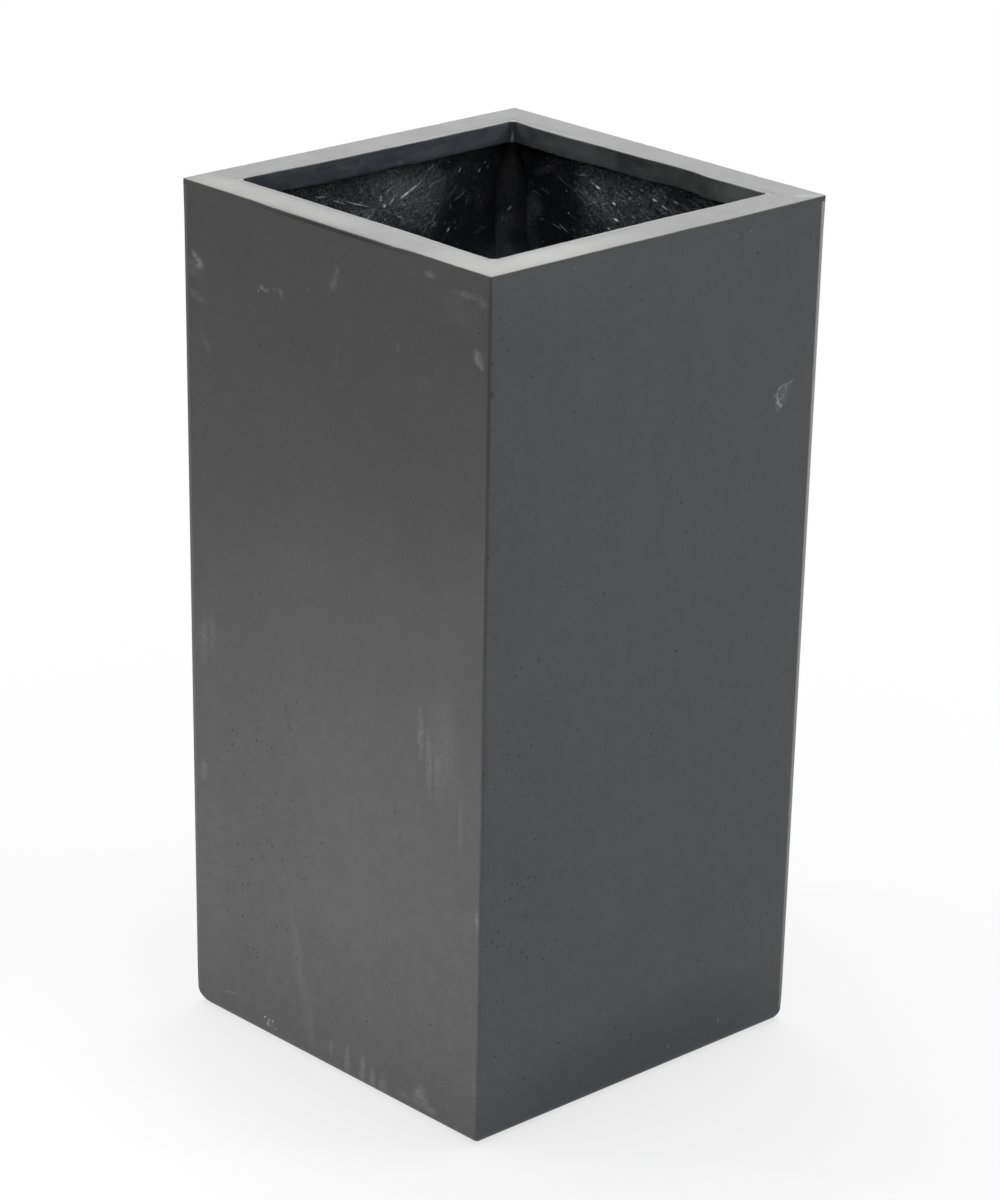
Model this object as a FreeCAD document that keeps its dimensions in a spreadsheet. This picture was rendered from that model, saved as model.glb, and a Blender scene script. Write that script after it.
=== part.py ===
"""Tall square planter in glass fibre, laid up from panels.

Every side has a thin stone-resin facing with a chopped-strand laminate bonded behind it. A flat rail caps each side,
a short strip returns down from the rail's inner edge, and mat and resin are packed behind that strip. The panels meet
in mitres at the four corners, where strips of mat are laid over the joint inside. They stand on a moulded base tray
with a rounded lower edge. A laminate covers the tray inside, and a rubber plug closes the drain hole through both.

Frame: millimetres, +Z up, origin on the floor at the middle of the base. The front is -Y and the right is +X.
Every piece of one side is drawn once, for the front, and turned about Z into its place.
"""

import FreeCAD
import Part
import Sketcher
import os

SIZES = [
    ("top_width", 400, "outer width across the rim"),
    ("base_width", 390, "outer width at the floor, narrower so that the moulding leaves its mould"),
    ("height", 800, "floor to the top of the rim"),
    ("facing_thick", 2, "stone-resin facing of each side"),
    ("laminate_thick", 3, "chopped-strand laminate behind each facing"),
    ("rim_width", 37, "outer edge to inner edge of the rim, return strip included"),
    ("rim_thick", 5, "thickness of the flat rail"),
    ("rim_edge_round", 1.2, "radius along the rail's outer top edge"),
    ("lip_thick", 5, "thickness of the return strip"),
    ("lip_height", 20, "height of the return strip from the rim's top"),
    ("lip_edge_round", 1, "radius along the return strip's inner edges"),
    ("bead_leg", 3, "legs of the filler bead between two return strips"),
    ("backing_lean", 3, "how far the backing falls away from the strip over its upright part"),
    ("backing_upright", 70, "height of the backing's nearly upright part"),
    ("backing_taper", 60, "height over which the backing thins out to the wall"),
    ("cove_leg", 20, "legs of the mat strip over each upright inner corner"),
    ("tray_height", 14, "height of the base tray's outer edge"),
    ("tray_edge_round", 10, "radius along the tray's lower outer edge"),
    ("ring_width", 30, "width of the tray's standing ring, rounded edge included"),
    ("recess_depth", 7, "how far the tray's middle is raised off the floor"),
    ("floor_thick", 3, "laminate over the tray inside"),
    ("floor_cove_leg", 16, "legs of the mat strip round the floor"),
    ("drain_diameter", 25, "drain hole"),
    ("plug_clearance", 0.05, "gap all round between the plug's stem and the hole"),
    ("plug_head_diameter", 38, "head of the rubber plug"),
    ("plug_head_thick", 5, "thickness of the plug's head"),
    ("plug_head_round", 1.5, "radius round the head's upper edge"),
    ("plug_reach", 1, "how far the plug's stem passes the tray's underside"),
    ("plug_tip_chamfer", 1.5, "lead-in at the stem's tip"),
]
SIDES = {"front": 0, "right": 90, "back": 180, "left": 270}
CORNERS = {"front_right": 0, "back_right": 90, "back_left": 180, "front_left": 270}
NEAR = 0.01  # how close a vertex lies to the plane or line that an edge is picked by

# Levels and half widths that several pieces share, as expressions on the sheet.
RIM_UNDERSIDE = "(dims.height - dims.rim_thick)"
LIP_BOTTOM = "(dims.height - dims.lip_height)"
LEAN_BOTTOM = f"({LIP_BOTTOM} - dims.backing_upright)"
TAPER_BOTTOM = f"({LEAN_BOTTOM} - dims.backing_taper)"
FLOOR_TOP = "(dims.tray_height + dims.floor_thick)"
FLOOR_COVE_TOP = f"({FLOOR_TOP} + dims.floor_cove_leg)"
WALL_THICK = "(dims.facing_thick + dims.laminate_thick)"
LIP_FACE = "(dims.top_width / 2 - dims.rim_width)"
LIP_BACK = f"({LIP_FACE} + dims.lip_thick)"
LIP_END = f"({LIP_FACE} - dims.bead_leg)"
LEAN_FACE = f"({LIP_BACK} + dims.backing_lean)"

doc = FreeCAD.newDocument("planter")
dims = doc.addObject("Spreadsheet::Sheet", "dims")
for row, (alias, size, note) in enumerate(SIZES, 1):
    dims.set(f"A{row}", alias)
    dims.set(f"B{row}", str(size))
    dims.set(f"C{row}", note)
    dims.setAlias(f"B{row}", alias)
doc.recompute()


def value(expression):
    """The number that an expression on the sheet stands for."""
    return float(dims.evalExpression(expression))


def outer_at(level):
    """Half the tapered outer width at a level, as an expression."""
    return f"(dims.base_width + (dims.top_width - dims.base_width) * ({level}) / dims.height) / 2"


def inner_at(level):
    """Half the clear width between two side laminates at a level."""
    return f"({outer_at(level)} - {WALL_THICK})"


# Bodies, sketches and features --------------------------------------------------------------------------------------


def new_body(label, turn=0):
    body = doc.addObject("PartDesign::Body", label)
    body.Label = label
    body.Placement = FreeCAD.Placement(FreeCAD.Vector(), FreeCAD.Rotation(FreeCAD.Vector(0, 0, 1), turn))
    return body


def new_sketch(body, name, plane, level=None):
    """A sketch on one of the body's own origin planes, raised to a level of the sheet if one is given."""
    sketch = body.newObject("Sketcher::SketchObject", f"{body.Name}_{name}")
    support = [item for item in body.Origin.OriginFeatures if item.Role == plane]
    sketch.AttachmentSupport = (support[0], [""])
    sketch.MapMode = "FlatFace"
    if level:
        sketch.setExpression(".AttachmentOffset.Base.z", level)
    return sketch


def pin_point(sketch, curve, end, place):
    """Ties one end of a curve to a place whose two coordinates are expressions."""
    for kind, coordinate in zip(("DistanceX", "DistanceY"), place):
        number = sketch.addConstraint(Sketcher.Constraint(kind, -1, 1, curve, end, value(coordinate)))
        sketch.setExpression(f"Constraints[{number}]", coordinate)


def draw_outline(sketch, points):
    """A closed outline of straight edges through the points."""
    first = sketch.GeometryCount
    spots = [FreeCAD.Vector(value(x), value(y), 0) for x, y in points]
    for start, end in zip(spots, spots[1:] + spots[:1]):
        sketch.addGeometry(Part.LineSegment(start, end), False)
    for step, place in enumerate(points):
        following = first + (step + 1) % len(points)
        sketch.addConstraint(Sketcher.Constraint("Coincident", first + step, 2, following, 1))
        pin_point(sketch, first + step, 1, place)


def draw_circle(sketch, radius):
    """A circle round the sketch's origin."""
    circle = Part.Circle(FreeCAD.Vector(), FreeCAD.Vector(0, 0, 1), value(radius))
    curve = sketch.addGeometry(circle, False)
    sketch.addConstraint(Sketcher.Constraint("Coincident", curve, 3, -1, 1))
    number = sketch.addConstraint(Sketcher.Constraint("Radius", curve, value(radius)))
    sketch.setExpression(f"Constraints[{number}]", radius)


def draw_cove(sketch, corner, leg):
    """A concave fillet in the corner at (corner, -corner): two straight legs, closed by a quarter arc."""
    heel = (corner, f"-({corner})")
    toes = [(f"{corner} - {leg}", f"-({corner})"), (corner, f"{leg} - ({corner})")]
    spots = [FreeCAD.Vector(value(x), value(y), 0) for x, y in [heel, *toes]]
    centre = FreeCAD.Vector(spots[1].x, spots[2].y, 0)
    radius = value(leg)
    circle = Part.Circle(centre, FreeCAD.Vector(0, 0, 1), radius)
    sketch.addGeometry(Part.LineSegment(spots[2], spots[0]), False)
    sketch.addGeometry(Part.LineSegment(spots[0], spots[1]), False)
    sketch.addGeometry(Part.ArcOfCircle(circle, circle.parameter(spots[1]), circle.parameter(spots[2])), False)
    sketch.addConstraint(Sketcher.Constraint("Coincident", 0, 2, 1, 1))
    sketch.addConstraint(Sketcher.Constraint("Coincident", 1, 2, 2, 1))
    sketch.addConstraint(Sketcher.Constraint("Coincident", 2, 2, 0, 1))
    pin_point(sketch, 1, 1, heel)
    pin_point(sketch, 1, 2, toes[0])
    pin_point(sketch, 0, 1, toes[1])
    number = sketch.addConstraint(Sketcher.Constraint("DistanceX", -1, 1, 2, 3, centre.x))
    sketch.setExpression(f"Constraints[{number}]", toes[0][0])


def square(half):
    """Corners of a square round the origin, from half its width."""
    return [(f"-({half})", f"-({half})"), (half, f"-({half})"), (half, half), (f"-({half})", half)]


def pad_across(body, sketch, length):
    """Extrudes a side's section both ways from the middle of that side."""
    pad = body.newObject("PartDesign::Pad", f"{body.Name}_pad")
    pad.Profile = sketch
    pad.SideType = "Symmetric"
    pad.setExpression("Length", length)


def pad_up(body, sketch, length):
    pad = body.newObject("PartDesign::Pad", f"{body.Name}_pad")
    pad.Profile = sketch
    pad.setExpression("Length", length)


def cut_through(body, sketch, name):
    """Cuts the sketch's outline through the body, above and below its plane."""
    pocket = body.newObject("PartDesign::Pocket", f"{body.Name}_{name}")
    pocket.Profile = sketch
    pocket.SideType = "Symmetric"
    pocket.Type = "ThroughAll"


def cut_mitres(body):
    """Takes off both ends of a side's piece along the upright planes through the planter's corners."""
    sketch = new_sketch(body, "mitres", "XY_Plane")
    inside, outside = "dims.top_width / 4", "dims.top_width"
    for sign in ("", "-"):
        near, far = f"{sign}{inside}", f"{sign}{outside}"
        draw_outline(sketch, [(near, f"-{inside}"), (far, f"-{outside}"), (far, f"-{inside}")])
    cut_through(body, sketch, "mitre_cut")


def round_edges(body, on_edge, radius, name):
    """Rounds the edges of the body's last feature whose ends all satisfy on_edge."""
    doc.recompute()
    base = body.Tip
    picked = [
        f"Edge{number}"
        for number, edge in enumerate(base.Shape.Edges, 1)
        if all(on_edge(vertex.Point) for vertex in edge.Vertexes)
    ]
    fillet = body.newObject("PartDesign::Fillet", f"{body.Name}_{name}")
    fillet.Base = (base, picked)
    fillet.setExpression("Radius", radius)


def side_piece(label, turn, section):
    """A piece that runs the whole width of one side, mitred at both ends."""
    body = new_body(label, turn)
    sketch = new_sketch(body, "section", "YZ_Plane")
    draw_outline(sketch, section)
    pad_across(body, sketch, "dims.top_width")
    cut_mitres(body)
    return body


def wall_section(outer_inset, inner_inset):
    """Section of a wall layer between two insets from the tapered outer face, from the tray up to the rail."""
    return [
        (f"{inset} - {outer_at(level)}", level)
        for inset, level in (
            (outer_inset, "dims.tray_height"),
            (outer_inset, RIM_UNDERSIDE),
            (inner_inset, RIM_UNDERSIDE),
            (inner_inset, "dims.tray_height"),
        )
    ]


# Pieces of one side -------------------------------------------------------------------------------------------------


def make_facing(side, turn):
    side_piece(f"facing_{side}", turn, wall_section("0", "dims.facing_thick"))


def make_laminate(side, turn):
    side_piece(f"laminate_{side}", turn, wall_section("dims.facing_thick", WALL_THICK))


def make_rim_rail(side, turn):
    section = [
        (f"-({outer_at(RIM_UNDERSIDE)})", RIM_UNDERSIDE),
        ("-dims.top_width / 2", "dims.height"),
        (f"-{LIP_BACK}", "dims.height"),
        (f"-{LIP_BACK}", RIM_UNDERSIDE),
    ]
    body = side_piece(f"rim_rail_{side}", turn, section)
    top, front = value("dims.height"), -value("dims.top_width / 2")

    def on_outer_top_edge(point):
        return abs(point.z - top) < NEAR and abs(point.y - front) < NEAR

    round_edges(body, on_outer_top_edge, "dims.rim_edge_round", "edge")


def make_return_lip(side, turn):
    """The strip stops short of both corners, where a bead of filler closes the joint."""
    body = new_body(f"return_lip_{side}", turn)
    sketch = new_sketch(body, "section", "YZ_Plane")
    draw_outline(
        sketch,
        [
            (f"-{LIP_BACK}", LIP_BOTTOM),
            (f"-{LIP_BACK}", "dims.height"),
            (f"-{LIP_FACE}", "dims.height"),
            (f"-{LIP_FACE}", LIP_BOTTOM),
        ],
    )
    pad_across(body, sketch, f"2 * {LIP_END}")
    face = -value(LIP_FACE)
    round_edges(body, lambda point: abs(point.y - face) < NEAR, "dims.lip_edge_round", "edges")


def make_lip_backing(side, turn):
    """Mat and resin packed behind the return strip, thinning out into the wall below it."""
    side_piece(
        f"lip_backing_{side}",
        turn,
        [
            (f"-{inner_at(RIM_UNDERSIDE)}", RIM_UNDERSIDE),
            (f"-{LIP_BACK}", RIM_UNDERSIDE),
            (f"-{LIP_BACK}", LIP_BOTTOM),
            (f"-{LEAN_FACE}", LEAN_BOTTOM),
            (f"-{inner_at(TAPER_BOTTOM)}", TAPER_BOTTOM),
        ],
    )


def make_floor_cove(side, turn):
    """Mat strip laid round the floor, over the joint between floor and wall."""
    side_piece(
        f"floor_cove_{side}",
        turn,
        [
            (f"-{inner_at(FLOOR_TOP)}", FLOOR_TOP),
            (f"dims.floor_cove_leg - {inner_at(FLOOR_TOP)}", FLOOR_TOP),
            (f"-{inner_at(FLOOR_COVE_TOP)}", FLOOR_COVE_TOP),
        ],
    )


# Pieces of one corner, drawn at the front right ---------------------------------------------------------------------


def make_lip_bead(corner, turn):
    """Filler between the ends of two return strips, with a narrow face across the inner corner."""
    body = new_body(f"lip_bead_{corner}", turn)
    outline = [
        (LIP_END, f"-{LIP_BACK}"),
        (LIP_BACK, f"-{LIP_BACK}"),
        (LIP_BACK, f"-{LIP_END}"),
        (LIP_FACE, f"-{LIP_END}"),
        (LIP_END, f"-{LIP_FACE}"),
    ]
    sketch = new_sketch(body, "outline", "XY_Plane", LIP_BOTTOM)
    draw_outline(sketch, outline)
    pad_up(body, sketch, "dims.lip_height")


def make_corner_tape(corner, turn):
    """Mat strip up the inner corner, over the wall joint first and then over the backing up to the return strips."""
    body = new_body(f"corner_tape_{corner}", turn)
    sections = (
        ("foot", FLOOR_COVE_TOP, inner_at(FLOOR_COVE_TOP), "dims.cove_leg"),
        ("bend", TAPER_BOTTOM, inner_at(TAPER_BOTTOM), "dims.cove_leg"),
        ("shoulder", LEAN_BOTTOM, LEAN_FACE, "dims.cove_leg"),
        ("head", LIP_BOTTOM, LIP_BACK, "dims.lip_thick"),
    )
    sketches = []
    for name, level, half, leg in sections:
        sketches.append(new_sketch(body, name, "XY_Plane", level))
        draw_cove(sketches[-1], half, leg)
    loft = body.newObject("PartDesign::AdditiveLoft", f"{body.Name}_loft")
    loft.Profile = sketches[0]
    loft.Sections = sketches[1:]
    loft.Ruled = True


# Base and plug ------------------------------------------------------------------------------------------------------


def cut_drain_hole(body):
    sketch = new_sketch(body, "drain", "XY_Plane")
    draw_circle(sketch, "dims.drain_diameter / 2")
    cut_through(body, sketch, "drain_cut")


def make_base_tray():
    """Moulded tray: rounded lower edge, a standing ring, and a middle raised off the floor round the drain hole."""
    body = new_body("base_tray")
    sole, seat = outer_at("0"), outer_at("dims.tray_height")
    section = new_sketch(body, "section", "YZ_Plane")
    draw_outline(
        section,
        [(f"-{sole}", "0"), (sole, "0"), (seat, "dims.tray_height"), (f"-{seat}", "dims.tray_height")],
    )
    pad_across(body, section, "dims.top_width")
    ends = new_sketch(body, "ends", "XZ_Plane")
    for sign in ("", "-"):
        far = f"{sign}dims.top_width"
        draw_outline(
            ends,
            [(f"{sign}{sole}", "0"), (far, "0"), (far, "dims.tray_height"), (f"{sign}{seat}", "dims.tray_height")],
        )
    cut_through(body, ends, "end_cut")
    round_edges(body, lambda point: abs(point.z) < NEAR, "dims.tray_edge_round", "edge")
    recess = new_sketch(body, "recess", "XY_Plane")
    draw_outline(recess, square("dims.base_width / 2 - dims.ring_width"))
    pocket = body.newObject("PartDesign::Pocket", "base_tray_recess_cut")
    pocket.Profile = recess
    pocket.Reversed = True
    pocket.setExpression("Length", "dims.recess_depth")
    cut_drain_hole(body)


def make_floor_laminate():
    body = new_body("floor_laminate")
    sketch = new_sketch(body, "outline", "XY_Plane", "dims.tray_height")
    draw_outline(sketch, square(inner_at("dims.tray_height")))
    pad_up(body, sketch, "dims.floor_thick")
    cut_drain_hole(body)


def make_drain_plug():
    """Rubber plug: a flat head on the floor laminate and a stem through the hole, short of the ground."""
    body = new_body("drain_plug")
    stem = "(dims.drain_diameter / 2 - dims.plug_clearance)"
    head = "dims.plug_head_diameter / 2"
    tip = "(dims.recess_depth - dims.plug_reach)"
    head_top = f"({FLOOR_TOP} + dims.plug_head_thick)"
    sketch = new_sketch(body, "half_section", "XZ_Plane")
    draw_outline(
        sketch,
        [
            ("0", tip),
            (f"{stem} - dims.plug_tip_chamfer", tip),
            (stem, f"{tip} + dims.plug_tip_chamfer"),
            (stem, FLOOR_TOP),
            (head, FLOOR_TOP),
            (head, head_top),
            ("0", head_top),
        ],
    )
    turned = body.newObject("PartDesign::Revolution", "drain_plug_turned")
    turned.Profile = sketch
    turned.ReferenceAxis = (sketch, ["V_Axis"])
    top, rim = value(head_top), value(head)

    def on_head_edge(point):
        return abs(point.z - top) < NEAR and abs(FreeCAD.Vector(point.x, point.y, 0).Length - rim) < NEAR

    round_edges(body, on_head_edge, "dims.plug_head_round", "edge")


# Assembly -----------------------------------------------------------------------------------------------------------


def check_model(bodies):
    """Stops before anything is written if a feature failed or a piece isn't one valid solid."""
    for item in doc.Objects:
        if {"Invalid", "Error"} & set(item.State):
            raise RuntimeError(f"{item.Name} failed: {item.State}")
    for body in bodies:
        shape = body.Shape
        if shape.isNull() or not shape.isValid() or len(shape.Solids) != 1:
            raise RuntimeError(f"{body.Label} isn't one valid solid")


def main():
    for side, turn in SIDES.items():
        make_facing(side, turn)
        make_laminate(side, turn)
        make_rim_rail(side, turn)
        make_return_lip(side, turn)
        make_lip_backing(side, turn)
        make_floor_cove(side, turn)
    for corner, turn in CORNERS.items():
        make_lip_bead(corner, turn)
        make_corner_tape(corner, turn)
    make_base_tray()
    make_floor_laminate()
    make_drain_plug()
    doc.recompute()

    bodies = [item for item in doc.Objects if item.TypeId == "PartDesign::Body"]
    check_model(bodies)
    os.makedirs("parts", exist_ok=True)
    for body in bodies:
        body.Shape.exportStep(f"parts/{body.Label}.step")
        print(f"{body.Label:28s} {body.Shape.Volume:12.1f} mm3")


main()
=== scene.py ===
"""Looks of the tall square glass-fibre planter, in metres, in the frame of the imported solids.

Each side's pieces are built once for the front, at -Y, and turned about Z into their places. On every side
`along` is the distance along it, from its own left to its own right seen from outside, and `depth` is the
distance from the middle of the planter.
"""

import itertools
import math

import bmesh
import bpy
import numpy as np
from mathutils import Matrix, Vector


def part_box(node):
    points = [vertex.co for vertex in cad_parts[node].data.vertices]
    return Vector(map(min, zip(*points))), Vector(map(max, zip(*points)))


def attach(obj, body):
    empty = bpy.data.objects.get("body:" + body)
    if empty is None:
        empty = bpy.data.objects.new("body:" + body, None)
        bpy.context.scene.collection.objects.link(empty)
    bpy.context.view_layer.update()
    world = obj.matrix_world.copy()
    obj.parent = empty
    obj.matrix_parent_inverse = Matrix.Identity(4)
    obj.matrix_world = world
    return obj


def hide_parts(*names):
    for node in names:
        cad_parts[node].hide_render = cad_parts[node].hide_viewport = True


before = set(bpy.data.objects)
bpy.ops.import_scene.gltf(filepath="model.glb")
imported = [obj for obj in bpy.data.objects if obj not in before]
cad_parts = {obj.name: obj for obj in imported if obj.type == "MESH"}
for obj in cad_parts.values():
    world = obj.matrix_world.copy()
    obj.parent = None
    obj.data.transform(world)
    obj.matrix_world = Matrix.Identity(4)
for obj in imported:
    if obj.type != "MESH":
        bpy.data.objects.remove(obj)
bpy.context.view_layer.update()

SIDES = {"front": 0, "right": 1, "back": 2, "left": 3}
CORNERS = {"front_right": 0, "back_right": 1, "back_left": 2, "front_left": 3}
MM = 0.001

# Sizes read from the solids.
TRAY_HALF, TRAY_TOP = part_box("base_tray")[1].yz
RAIL, LIP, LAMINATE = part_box("rim_rail_front"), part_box("return_lip_front"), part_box("laminate_front")
TOP_HALF, RIM_UNDERSIDE = -RAIL[0].y, RAIL[0].z
RAIL_INNER, HEIGHT = -RAIL[1].y, RAIL[1].z
LIP_FACE, LIP_BOTTOM, LIP_END = -LIP[1].y, LIP[0].z, LIP[1].x
BACKING_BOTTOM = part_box("lip_backing_front")[0].z
FLOOR_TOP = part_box("floor_laminate")[1].z
COVE_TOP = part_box("floor_cove_front")[1].z
PLUG_LOW, PLUG_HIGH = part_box("drain_plug")
TAPER = (TOP_HALF - TRAY_HALF) / (HEIGHT - TRAY_TOP)
WALL = TRAY_HALF + LAMINATE[1].y
FACING = TRAY_HALF + TAPER * (RIM_UNDERSIDE - TRAY_TOP) + LAMINATE[0].y

# Small shapes that the solids leave plain.
CORNER_ROUND, CROWN_ROUND, FOOT_ROUND = 3.0 * MM, 2.0 * MM, 4.0 * MM
CORNER_STEPS = 7
RIM_ROUND = 1.2 * MM
LIP_ROUND = 1.0 * MM
LEAN_TOP = HEIGHT - 90 * MM  # the backing leans in from here up to the return strip
LEAN_DEPTH = RAIL_INNER + 3 * MM
DIAGONAL = math.sqrt(0.5)


def outer(level):
    """Half the planter's width at a level."""
    return TRAY_HALF + TAPER * (level - TRAY_TOP)


def ease(value):
    """0 below 0, 1 above 1 and a smooth change between."""
    value = np.clip(value, 0, 1)
    return value * value * (3 - 2 * value)


def corner_round(level):
    """Radius in plan of the upright corners: crisper at the rim and softer at the foot."""
    level = np.asarray(level, float)
    foot = (FOOT_ROUND - CORNER_ROUND) * ease((30 * MM - level) / (18 * MM))
    crown = (CORNER_ROUND - CROWN_ROUND) * ease((level - HEIGHT + 40 * MM) / (40 * MM))
    return CORNER_ROUND + foot - crown


def on_flat(along, across):
    """Places for ripple() on a flat of two coordinates."""
    return np.stack([along, across, 0 * across], -1)


def bearings(count):
    """Angles of so many points round a circle."""
    return np.arange(count) * 2 * math.pi / count


def wall_depth(level):
    """Depth of the inner face: the bare wall below, then the backing's swell up to the return strip."""
    level = np.asarray(level, float)
    bare = outer(level) - WALL
    swell = ease((level - BACKING_BOTTOM) / (LEAN_TOP - BACKING_BOTTOM))
    leaned = np.clip((level - LEAN_TOP) / (LIP_BOTTOM - LEAN_TOP), 0, 1)
    lean = LEAN_DEPTH + (RAIL_INNER - LEAN_DEPTH) * leaned
    return bare + (lean - bare) * swell


# Mesh building -----------------------------------------------------------------


def ripple(points, size, seed, octaves=3):
    """Smooth gradient noise of about -1 to 1 at points, with features of the given size."""
    table = np.random.default_rng(seed).normal(size=(256, 3))
    table /= np.linalg.norm(table, axis=1)[:, None]
    place = np.asarray(points, float) / size + 0.37 * seed
    total = 0
    for octave in range(octaves):
        total = total + lattice_noise(place * 2**octave, table) / 2**octave
    return 1.5 * total


def lattice_noise(place, table):
    """One octave of the noise: slopes from the table at whole numbers, and a smooth change between them."""
    cell = np.floor(place)
    inside = place - cell
    cell = cell.astype(np.int64)
    blend = inside**3 * (inside * (inside * 6 - 15) + 10)
    total = 0
    for corner in itertools.product((0, 1), repeat=3):
        mix = (cell + corner) @ np.array([73856093, 19349663, 83492791])
        slope = table[(mix ^ (mix >> 13)) % 256]
        weight = np.prod(np.where(corner, blend, 1 - blend), -1)
        total = total + weight * np.sum(slope * (inside - corner), -1)
    return total


def lattice(rows, columns, loop_rows=False, loop_columns=False):
    """Quads of a grid of points, numbered row by row."""
    row, column = np.meshgrid(
        np.arange(rows if loop_rows else rows - 1),
        np.arange(columns if loop_columns else columns - 1),
        indexing="ij",
    )
    below, right = (row + 1) % rows, (column + 1) % columns
    here, under = row * columns, below * columns
    return np.stack([here + column, here + right, under + right, under + column], -1).reshape(-1, 4).tolist()


def tube(rings, around):
    """Faces of a closed tube: rings of so many points each, and a face over either end."""
    last = (rings - 1) * around
    ends = [list(range(around)), list(range(last, last + around))]
    return lattice(rings, around, loop_columns=True) + ends


def add_object(name, data):
    """A new object in the scene."""
    thing = bpy.data.objects.new(name, data)
    bpy.context.scene.collection.objects.link(thing)
    return thing


def new_piece(name, shells, material, node, turn=0, body="planter", crease=40):
    """One object for a node, from closed shells of (points, faces) turned about Z by quarter turns."""
    mesh = bpy.data.meshes.new(name)
    points, faces = [], []
    for shell_points, shell_faces in shells:
        first = len(points)
        points += np.asarray(shell_points, float).reshape(-1, 3).tolist()
        faces += [[first + corner for corner in face] for face in shell_faces]
    mesh.from_pydata(points, [], faces)
    mesh.transform(Matrix.Rotation(turn * math.pi / 2, 4, "Z"))
    work = bmesh.new()
    work.from_mesh(mesh)
    bmesh.ops.remove_doubles(work, verts=work.verts, dist=1e-6)
    bmesh.ops.recalc_face_normals(work, faces=work.faces)
    work.to_mesh(mesh)
    work.free()
    mesh.shade_smooth()
    mesh.set_sharp_from_angle(angle=math.radians(crease))
    mesh.materials.append(material)
    piece = add_object(name, mesh)
    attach(piece, body)
    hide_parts(node)


def new_lining(name, shells, gloss, node, turn=0):
    """A piece of the glossy inside, its facets smoothed over."""
    new_piece(name, shells, gloss, node, turn, crease=70)


def swept_shell(profile, columns, half_length=None, shift=None):
    """A closed section carried along the front side.

    profile holds (depth, level) points round the section. Without half_length the ends are mitred, and the
    corner is rounded in plan as far in as its radius reaches. shift(along, depth, level) moves the points.
    """
    profile = np.asarray(profile, float)
    depth, level = profile[:, 0], profile[:, 1]
    if half_length:
        along = np.linspace(-half_length, half_length, columns)[None, :] + 0 * depth[:, None]
        deep = depth[:, None] + 0 * along
    else:
        spread = np.linspace(-1, 1, columns)
        reach = corner_round(level)[:, None]
        radius = np.maximum(0, reach - (outer(level) - depth)[:, None])
        straight = spread[None, :] * (depth[:, None] - reach)
        turn = np.arange(1, CORNER_STEPS + 1)[None, :] / CORNER_STEPS
        rounded = depth[:, None] - reach + (reach - radius) * turn + radius * np.sin(turn * math.pi / 4)
        sunk = depth[:, None] - radius * (1 - np.cos(turn * math.pi / 4))
        along = np.concatenate([-rounded[:, ::-1], straight, rounded], 1)
        flat = depth[:, None] + 0 * straight
        deep = np.concatenate([sunk[:, ::-1], flat, sunk], 1)
    high = level[:, None] + 0 * along
    if shift:
        along, deep, high = shift(along, deep, high)
    points = np.stack([along, -deep, high], -1)
    rows, count = along.shape
    faces = lattice(rows, count, loop_rows=True)
    faces.append([row * count for row in range(rows)])
    faces.append([row * count + count - 1 for row in range(rows)])
    return points, faces


def arc(centre, radius, start, end, steps):
    """Points of an arc, with its angles in degrees."""
    angles = np.radians(np.linspace(start, end, steps + 1))
    return [(centre[0] + radius * math.cos(a), centre[1] + radius * math.sin(a)) for a in angles]


# Node graphs -------------------------------------------------------------------


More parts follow.
